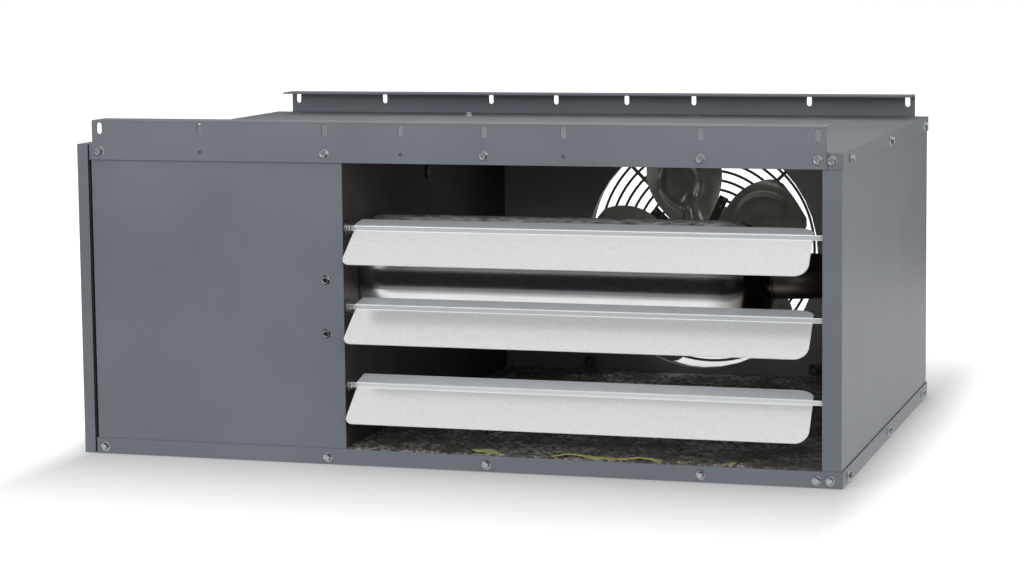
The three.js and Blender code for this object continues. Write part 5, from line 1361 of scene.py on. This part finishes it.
fan_guard()
for k in range(1, 5):
    soften(f"guard_bolt_{k}", "bright_zinc_plating", width_mm=0.35)
    square_nut(k)
print("welded a guard of", RING_COUNT, "rings")

# %% [markdown]
# ### The motor
# A small closed motor in black enamel: a drawn shell with a rolled step where each end bell sits, and two
# nuts on the through bolts. The shell is spun, and so is the bright plate that the motor is bolted to.

# %% Motor
MOTOR_FRONT = GUARD_Y - 2.3
MOTOR_R = 43.0
MOTOR_LENGTH = 74.0
BELL = 12.0
BELL_R = 36.0
NUT_CIRCLE_R = 27
NUT_ANGLES = (35, 215)
PLATE_R = 58.0
PLATE_BACK = MOTOR_FRONT - 0.3


def motor():
    """The motor's shell and its two nuts."""
    y0 = MOTOR_FRONT
    y1 = y0 + MOTOR_LENGTH
    shell = [(4.4, y0), (BELL_R - 3, y0), (BELL_R, y0 + 0.8), (MOTOR_R - 2.5, y0 + BELL - 2)]
    shell += [(MOTOR_R - 1.2, y0 + BELL), (MOTOR_R, y0 + BELL + 0.8), (MOTOR_R, y1 - BELL - 0.8)]
    shell += [(MOTOR_R - 1.2, y1 - BELL), (MOTOR_R - 2.5, y1 - BELL + 2), (BELL_R + 1, y1 - 3)]
    shell += [(BELL_R - 2, y1 - 0.6), (BELL_R - 5, y1), (14, y1), (13, y1 - 1.5), (4.4, y1 - 1.5)]
    bm = bmesh.new()
    lathe_into(bm, shell, "y", (FAN_X, 0, FAN_Z), steps=64)
    for angle in NUT_ANGLES:
        x = FAN_X + NUT_CIRCLE_R * cos(radians(angle))
        z = FAN_Z + NUT_CIRCLE_R * sin(radians(angle))
        seated = Matrix.Translation(Vector((x, y1 - 1.2, z)) * MM) @ Matrix.Rotation(pi / 2, 4, "X")
        bmesh.ops.create_cone(
            bm,
            cap_ends=True,
            segments=6,
            radius1=4 * MM,
            radius2=4 * MM,
            depth=2.4 * MM,
            matrix=seated,
        )
    piece = finish_mesh(bm, "fan_motor_shell", "satin_black_enamel", "case")
    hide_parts("fan_motor")


motor()
plate = [(9, PLATE_BACK - 2), (PLATE_R - 0.5, PLATE_BACK - 2), (PLATE_R, PLATE_BACK - 1.5)]
plate += [(PLATE_R, PLATE_BACK - 0.5), (PLATE_R - 0.5, PLATE_BACK), (9, PLATE_BACK)]
lathe("motor_plate_disc", "motor_plate", plate, "y", (FAN_X, 0, FAN_Z), "galvanised_steel", steps=64)
print("spun the motor,", MOTOR_LENGTH, "mm long")

# %% [markdown]
# ## Insulation
# The floor blanket is not a slab: its foil face is quilted by handling, with soft hollows and sharp little
# creases. A flat grid with one point every four millimetres is moved up and down by smooth noise. The
# material adds the finer creases. In front, the blanket's cut edge shows its yellow fibres just above the
# bottom panel's flange.

# %% Floor and roof blankets
BLANKET_STEP = 4.0


def blanket(node, face_up, relief_mm, grain_mm):
    """A quilted sheet with closed sides, filling the node's box. face_up says which side is the foil."""
    low, high = corners(node)
    columns = int((high.x - low.x) / BLANKET_STEP)
    rows = int((high.y - low.y) / BLANKET_STEP)
    bm = bmesh.new()
    grid = bmesh.ops.create_grid(bm, x_segments=columns, y_segments=rows, size=0.5)["verts"]
    bmesh.ops.scale(bm, verts=grid, vec=Vector((high.x - low.x, high.y - low.y, 1)) * MM)
    face = high.z if face_up else low.z
    back = low.z if face_up else high.z
    way = 1 if face_up else -1
    centre = Vector(((low.x + high.x) / 2, (low.y + high.y) / 2, face)) * MM
    bmesh.ops.translate(bm, verts=grid, vec=centre)
    for vert in grid:
        spot = vert.co / (grain_mm * MM)
        dents = abs(noise.noise(spot)) + 0.5 * abs(noise.noise(spot * 2.3 + Vector((7, 3, 1))))
        vert.co.z -= way * relief_mm * min(dents, 1.0) * MM
    rim = [e for e in bm.edges if e.is_boundary]
    grown = bmesh.ops.extrude_edge_only(bm, edges=rim)["geom"]
    for vert in new_verts(grown):
        vert.co.z = back * MM
    bmesh.ops.holes_fill(bm, edges=[e for e in bm.edges if e.is_boundary], sides=0)
    bmesh.ops.recalc_face_normals(bm, faces=bm.faces)
    piece = finish_mesh(bm, node + "_quilt", "foil_blanket_painted_glints", "case", 60)
    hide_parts(node)


TUFTS_FROM = 20.0
TUFTS_TO = 310.0
TUFT_DEPTH = 8.0
TUFT_SUNK = 3.0
TUFT_RISE = 6.5
TUFT_SIZE = 34
FIBRE_SIZE = 2.2


def fibre_edge():
    """Yellow fibres that stand out of the floor blanket's front edge in tufts and sink into it in between."""
    low, high = corners("floor_insulation")
    bm = bmesh.new()
    band = bmesh.ops.create_grid(bm, x_segments=260, y_segments=6, size=0.5)["verts"]
    bmesh.ops.scale(bm, verts=band, vec=Vector((TUFTS_TO - TUFTS_FROM, TUFT_DEPTH, 1)) * MM)
    middle = Vector(((TUFTS_FROM + TUFTS_TO) / 2, low.y + TUFT_DEPTH / 2 + 1, high.z - TUFT_SUNK)) * MM
    bmesh.ops.translate(bm, verts=band, vec=middle)
    for vert in band:
        swell = max(0.0, noise.noise(vert.co / (TUFT_SIZE * MM)) + 0.22)
        frayed = noise.noise(vert.co / (FIBRE_SIZE * MM))
        vert.co.z += (TUFT_RISE * swell + 0.9 * frayed) * MM
        vert.co.y += 1.2 * noise.noise(vert.co / (11 * MM) + Vector((0, 9, 0))) * MM
    bmesh.ops.recalc_face_normals(bm, faces=bm.faces)
    bmesh.ops.solidify(bm, geom=bm.faces[:], thickness=0.8 * MM)
    finish_mesh(bm, "blanket_edge", "yellow_glass_fibre", "case")


blanket("floor_insulation", True, 3.2, 16)
blanket("roof_insulation", False, 2.4, 18)
fibre_edge()
print("laid two blankets and a row of tufts")

# %% [markdown]
# ## Flue, gas pipe and cable entry
# At the back, the burnt gas leaves through a spun collar, the gas comes in through a black steel pipe, and
# the mains goes in through a nylon bushing. No cable shows in the photograph, so the bushing is empty.

# %% Rear fittings
def fitting(name, node, profile, finish, **settings):
    """A round fitting, spun about the middle of its node."""
    low, high = corners(node)
    centre = ((low.x + high.x) / 2, 0, (low.z + high.z) / 2)
    lathe(name, node, profile, "y", centre, finish, **settings)


low, high = corners("flue_tube")
FLUE_R = (high.x - low.x) / 2
bead_y = high.y - 12.25
flue = [(FLUE_R - 1, low.y), (FLUE_R, low.y), (FLUE_R, bead_y - 1.75), (FLUE_R - 0.9, bead_y - 0.75)]
flue += [(FLUE_R - 0.9, bead_y + 0.75), (FLUE_R, bead_y + 1.75), (FLUE_R, high.y), (FLUE_R - 1, high.y)]
fitting("flue_tube_spun", "flue_tube", flue, "galvanised_steel")

low, high = corners("flue_transition")
cone = [(24, low.y), (38, high.y), (37, high.y), (23, low.y)]
fitting("flue_transition_spun", "flue_transition", cone, "galvanised_steel")

low, high = corners("flue_collar")
collar = [(38.3, low.y), (43.1, low.y), (43.5, low.y + 0.4)]
collar += [(43.5, high.y - 0.4), (43.1, high.y), (38.3, high.y)]
fitting("flue_collar_spun", "flue_collar", collar, "galvanised_steel")

PIPE_THREADS = 9
THREAD_PITCH = 1.8
low, high = corners("gas_pipe")
pipe = [(8, low.y), (10.7, low.y), (10.7, high.y - 17)]
for k in range(PIPE_THREADS):
    crest = high.y - 16.4 + THREAD_PITCH * k
    pipe += [(10.65, crest), (9.9, crest + THREAD_PITCH / 2)]
pipe += [(9.6, high.y), (8, high.y)]
fitting("gas_pipe_threaded", "gas_pipe", pipe, "satin_black_enamel", steps=40, smooth_angle=25)

low, high = corners("cable_bushing")
bushing = [(8, low.y), (10.7, low.y), (10.7, high.y - 3), (15, high.y - 3), (15, high.y - 1)]
bushing += [(14, high.y), (9, high.y), (8, high.y - 0.8)]
fitting("cable_bushing_moulded", "cable_bushing", bushing, "moulded_black_nylon", steps=40)
print("spun the rear fittings, with a flue", round(2 * FLUE_R), "mm across")

# %% [markdown]
# ## Behind the cover
# The burner, the valve, the draft fan and the controls are out of sight until the side door comes off. They
# keep their measured shapes, with softened edges, and each gets the finish of the real part.

# %% Hidden parts
HIDDEN = {
    "door_gasket": "closed_cell_foam",
    "tube_hanger": "galvanised_steel",
    "burner_tube": "aluminised_steel_drum",
    "burner_plate": "galvanised_steel",
    "spark_igniter": "glazed_steatite",
    "flame_sensor": "glazed_steatite",
    "gas_manifold": "turned_brass",
    "manifold_bracket": "galvanised_steel",
    "gas_valve": "die_cast_aluminium",
    "valve_knob": "moulded_black_nylon",
    "inducer_housing": "galvanised_steel",
    "inducer_wheel": "galvanised_steel",
    "inducer_shaft": "bright_zinc_plating",
    "inducer_motor": "satin_black_enamel",
    "pressure_switch": "moulded_black_nylon",
    "sensing_hose": "silicone_tube",
    "board_tray": "moulded_black_nylon",
    "control_board": "glass_epoxy_board",
    "transformer": "satin_black_enamel",
    "limit_switch": "blackened_steel",
    "junction_box": "galvanised_steel",
}
for node, material in HIDDEN.items():
    soften(node, material, width_mm=0.25)
print("finished", len(HIDDEN), "hidden parts")

# %% [markdown]
# ## Floor, light and background
# The picture was taken on white with broad, soft light from the front and above. The floor is a plain
# diffuse white with a little emission on top, which only camera, mirror and glass rays meet, so the object
# gets no extra light from it. Round the object's foot the camera sees hardly any of that lift, so the soft
# shadow stays, and the floor there is also painted darker, a painted shadow round the footprint. The lift
# grows with the distance from the footprint, faster sideways than forwards, so the painted shadow reaches
# further in front than at the sides, until the floor is as white as the background.

# %% Floor
FLOOR_TONE = "#e6e6e6"
# The low lift near the foot is a painted shadow; SIDEWAYS keeps it short at the sides.
LIFT_NEAR = 0.13
LIFT_FAR = 0.85
LIFT_MIRRORED = 0.75
FADE_M = 0.50
SIDEWAYS = 6.0
FOOT_HALF = (0.425, 0.30, 0)
FLOOR_SIZE = 20.0
FLOOR_DROP = 0.0005

floor_material = bpy.data.materials.new("white_floor")
floor_material.use_nodes = True
floor_tree = floor_material.node_tree
floor_tree.nodes.remove(floor_tree.nodes["Principled BSDF"])
matte = add_node(floor_material, "ShaderNodeBsdfDiffuse", {"Color": linear(FLOOR_TONE)})

# The distance past the footprint: the point is folded into one quarter, and the half sizes are taken off.
point = add_node(floor_material, "ShaderNodeTexCoord").outputs["Object"]
folded = add_node(floor_material, "ShaderNodeVectorMath", {0: point}, operation="ABSOLUTE")
past = {0: folded.outputs[0], 1: FOOT_HALF}
past = add_node(floor_material, "ShaderNodeVectorMath", past, operation="SUBTRACT")
past = {0: past.outputs[0], 1: (0, 0, 0)}
past = add_node(floor_material, "ShaderNodeVectorMath", past, operation="MAXIMUM")
past = {0: past.outputs[0], 1: (SIDEWAYS, 1, 1)}
past = add_node(floor_material, "ShaderNodeVectorMath", past, operation="MULTIPLY")
away = add_node(floor_material, "ShaderNodeVectorMath", {0: past.outputs[0]}, operation="LENGTH")

# The lift that the camera sees grows with that distance, which paints a shadow round the foot, and mirror and
# glass rays see a steady one.
ramp = {"Value": away.outputs["Value"], "From Max": FADE_M, "To Min": LIFT_NEAR, "To Max": LIFT_FAR}
ramp = add_node(floor_material, "ShaderNodeMapRange", ramp)
rays = add_node(floor_material, "ShaderNodeLightPath")
seen = {0: rays.outputs["Is Camera Ray"], 1: ramp.outputs[0]}
seen = add_node(floor_material, "ShaderNodeMath", seen, operation="MULTIPLY")
through = {0: rays.outputs["Is Glossy Ray"], 1: rays.outputs["Is Transmission Ray"]}
through = add_node(floor_material, "ShaderNodeMath", through, operation="MAXIMUM")
through = {0: through.outputs[0], 1: LIFT_MIRRORED}
through = add_node(floor_material, "ShaderNodeMath", through, operation="MULTIPLY")
lift = {0: seen.outputs[0], 1: through.outputs[0]}
lift = add_node(floor_material, "ShaderNodeMath", lift, operation="MAXIMUM")
glow = {"Color": (1, 1, 1, 1), "Strength": lift.outputs[0]}
glow = add_node(floor_material, "ShaderNodeEmission", glow)
both = add_node(floor_material, "ShaderNodeAddShader", {0: matte.outputs[0], 1: glow.outputs[0]})
out = next(n for n in floor_tree.nodes if n.bl_idname == "ShaderNodeOutputMaterial")
floor_tree.links.new(both.outputs[0], out.inputs["Surface"])


def stage_sheet(name, bm, material):
    """Turns a bmesh into a sheet that belongs to the stage and not to the object."""
    mesh = bpy.data.meshes.new(name)
    bm.to_mesh(mesh)
    bm.free()
    mesh.materials.append(material)
    sheet = bpy.data.objects.new(name, mesh)
    bpy.context.scene.collection.objects.link(sheet)
    return sheet


bm = bmesh.new()
bmesh.ops.create_grid(bm, x_segments=1, y_segments=1, size=FLOOR_SIZE)
bmesh.ops.translate(bm, verts=bm.verts, vec=(0, 0, -FLOOR_DROP))
stage_sheet("floor", bm, floor_material)
print("laid a floor that is white from", FADE_M, "m in front of the object")

# %% [markdown]
# ### Black cards
# A photographer who shoots polished metal on white puts black cards just out of the frame, so that the
# metal has something dark to mirror next to the white table. Without them the drum and the screws would
# look like white plastic. One low card stands close in front, so that the drum's lower half mirrors it
# instead of the white floor, and a higher one stands behind. Only mirror rays meet them: they cast no
# shadow and take no light away.

# %% Cards
CARDS = {
    "front_card": (-2.6, 2.6, -0.62, 0.0, 0.31),
    "back_card": (-2.6, 0.75, 1.5, 0.0, 0.95),
}
CARD_BLACK = (0.012, 0.02)

card_material = bpy.data.materials.new("black_card")
card_material.use_nodes = True
card_shader = card_material.node_tree.nodes["Principled BSDF"]
weave = add_node(card_material, "ShaderNodeTexNoise", {"Scale": per_mm(4)})
tone = {"Value": weave.outputs["Fac"], "To Min": CARD_BLACK[0], "To Max": CARD_BLACK[1]}
tone = add_node(card_material, "ShaderNodeMapRange", tone)
card_material.node_tree.links.new(tone.outputs[0], card_shader.inputs["Base Color"])
card_shader.inputs["Roughness"].default_value = 0.9
for name, (left, right, y, foot, height) in CARDS.items():
    bm = bmesh.new()
    outline = [(left, y, foot), (right, y, foot), (right, y, height), (left, y, height)]
    bm.faces.new([bm.verts.new(corner) for corner in outline])
    card = stage_sheet(name, bm, card_material)
    card.visible_camera = False
    card.visible_diffuse = False
    card.visible_shadow = False
    card.visible_transmission = False
print("stood", len(CARDS), "black cards out of the frame")

# %% [markdown]
# ### Room and lamps
# The room is an even white. Camera, mirror and glass rays see it at full brightness, and all other rays
# see well under half of that, so it fills the shadows and no more. Four round lamps do the rest: the key
# from the front right, the fill from the front left, and two weak ones above and behind. Mirror rays
# don't meet the fill, so no metal mirrors it, and it only lightens the shadows.

# %% World and lamps
ROOM_LIGHT = 0.38
LAMPS = {
    "key": ((1.45, -3.25, 1.6), 2.0, 42.0),
    "fill": ((-1.6, -3.5, 0.95), 1.8, 40.0),
    "top": ((0.0, 0.2, 3.2), 2.2, 6.0),
    "back": ((-0.6, 3.2, 2.2), 2.2, 14.0),
}
LAMP_TARGET = Vector((0, 0, 0.15))

world = bpy.data.worlds.new("studio")
bpy.context.scene.world = world
world.use_nodes = True
background = world.node_tree.nodes["Background"]
world_rays = add_node(world, "ShaderNodeLightPath")
shown = world_rays.outputs["Is Camera Ray"]
for kind in ("Is Glossy Ray", "Is Transmission Ray"):
    pair = {0: shown, 1: world_rays.outputs[kind]}
    shown = add_node(world, "ShaderNodeMath", pair, operation="MAXIMUM").outputs[0]
level = add_node(world, "ShaderNodeMapRange", {"Value": shown, "To Min": ROOM_LIGHT, "To Max": 1.0})
world.node_tree.links.new(level.outputs[0], background.inputs["Strength"])
background.inputs["Color"].default_value = (1, 1, 1, 1)

for name, (place, size, watts) in LAMPS.items():
    lamp_data = bpy.data.lights.new(name, "AREA")
    lamp_data.shape = "DISK"
    lamp_data.size = size
    lamp_data.energy = watts
    lamp = bpy.data.objects.new(name, lamp_data)
    lamp.visible_glossy = name != "fill"
    bpy.context.scene.collection.objects.link(lamp)
    facing = (LAMP_TARGET - Vector(place)).to_track_quat("-Z", "Y").to_matrix().to_4x4()
    lamp.matrix_world = Matrix.Translation(place) @ facing
bpy.context.scene.view_settings.view_transform = "Standard"
print("lit by", len(LAMPS), "lamps")
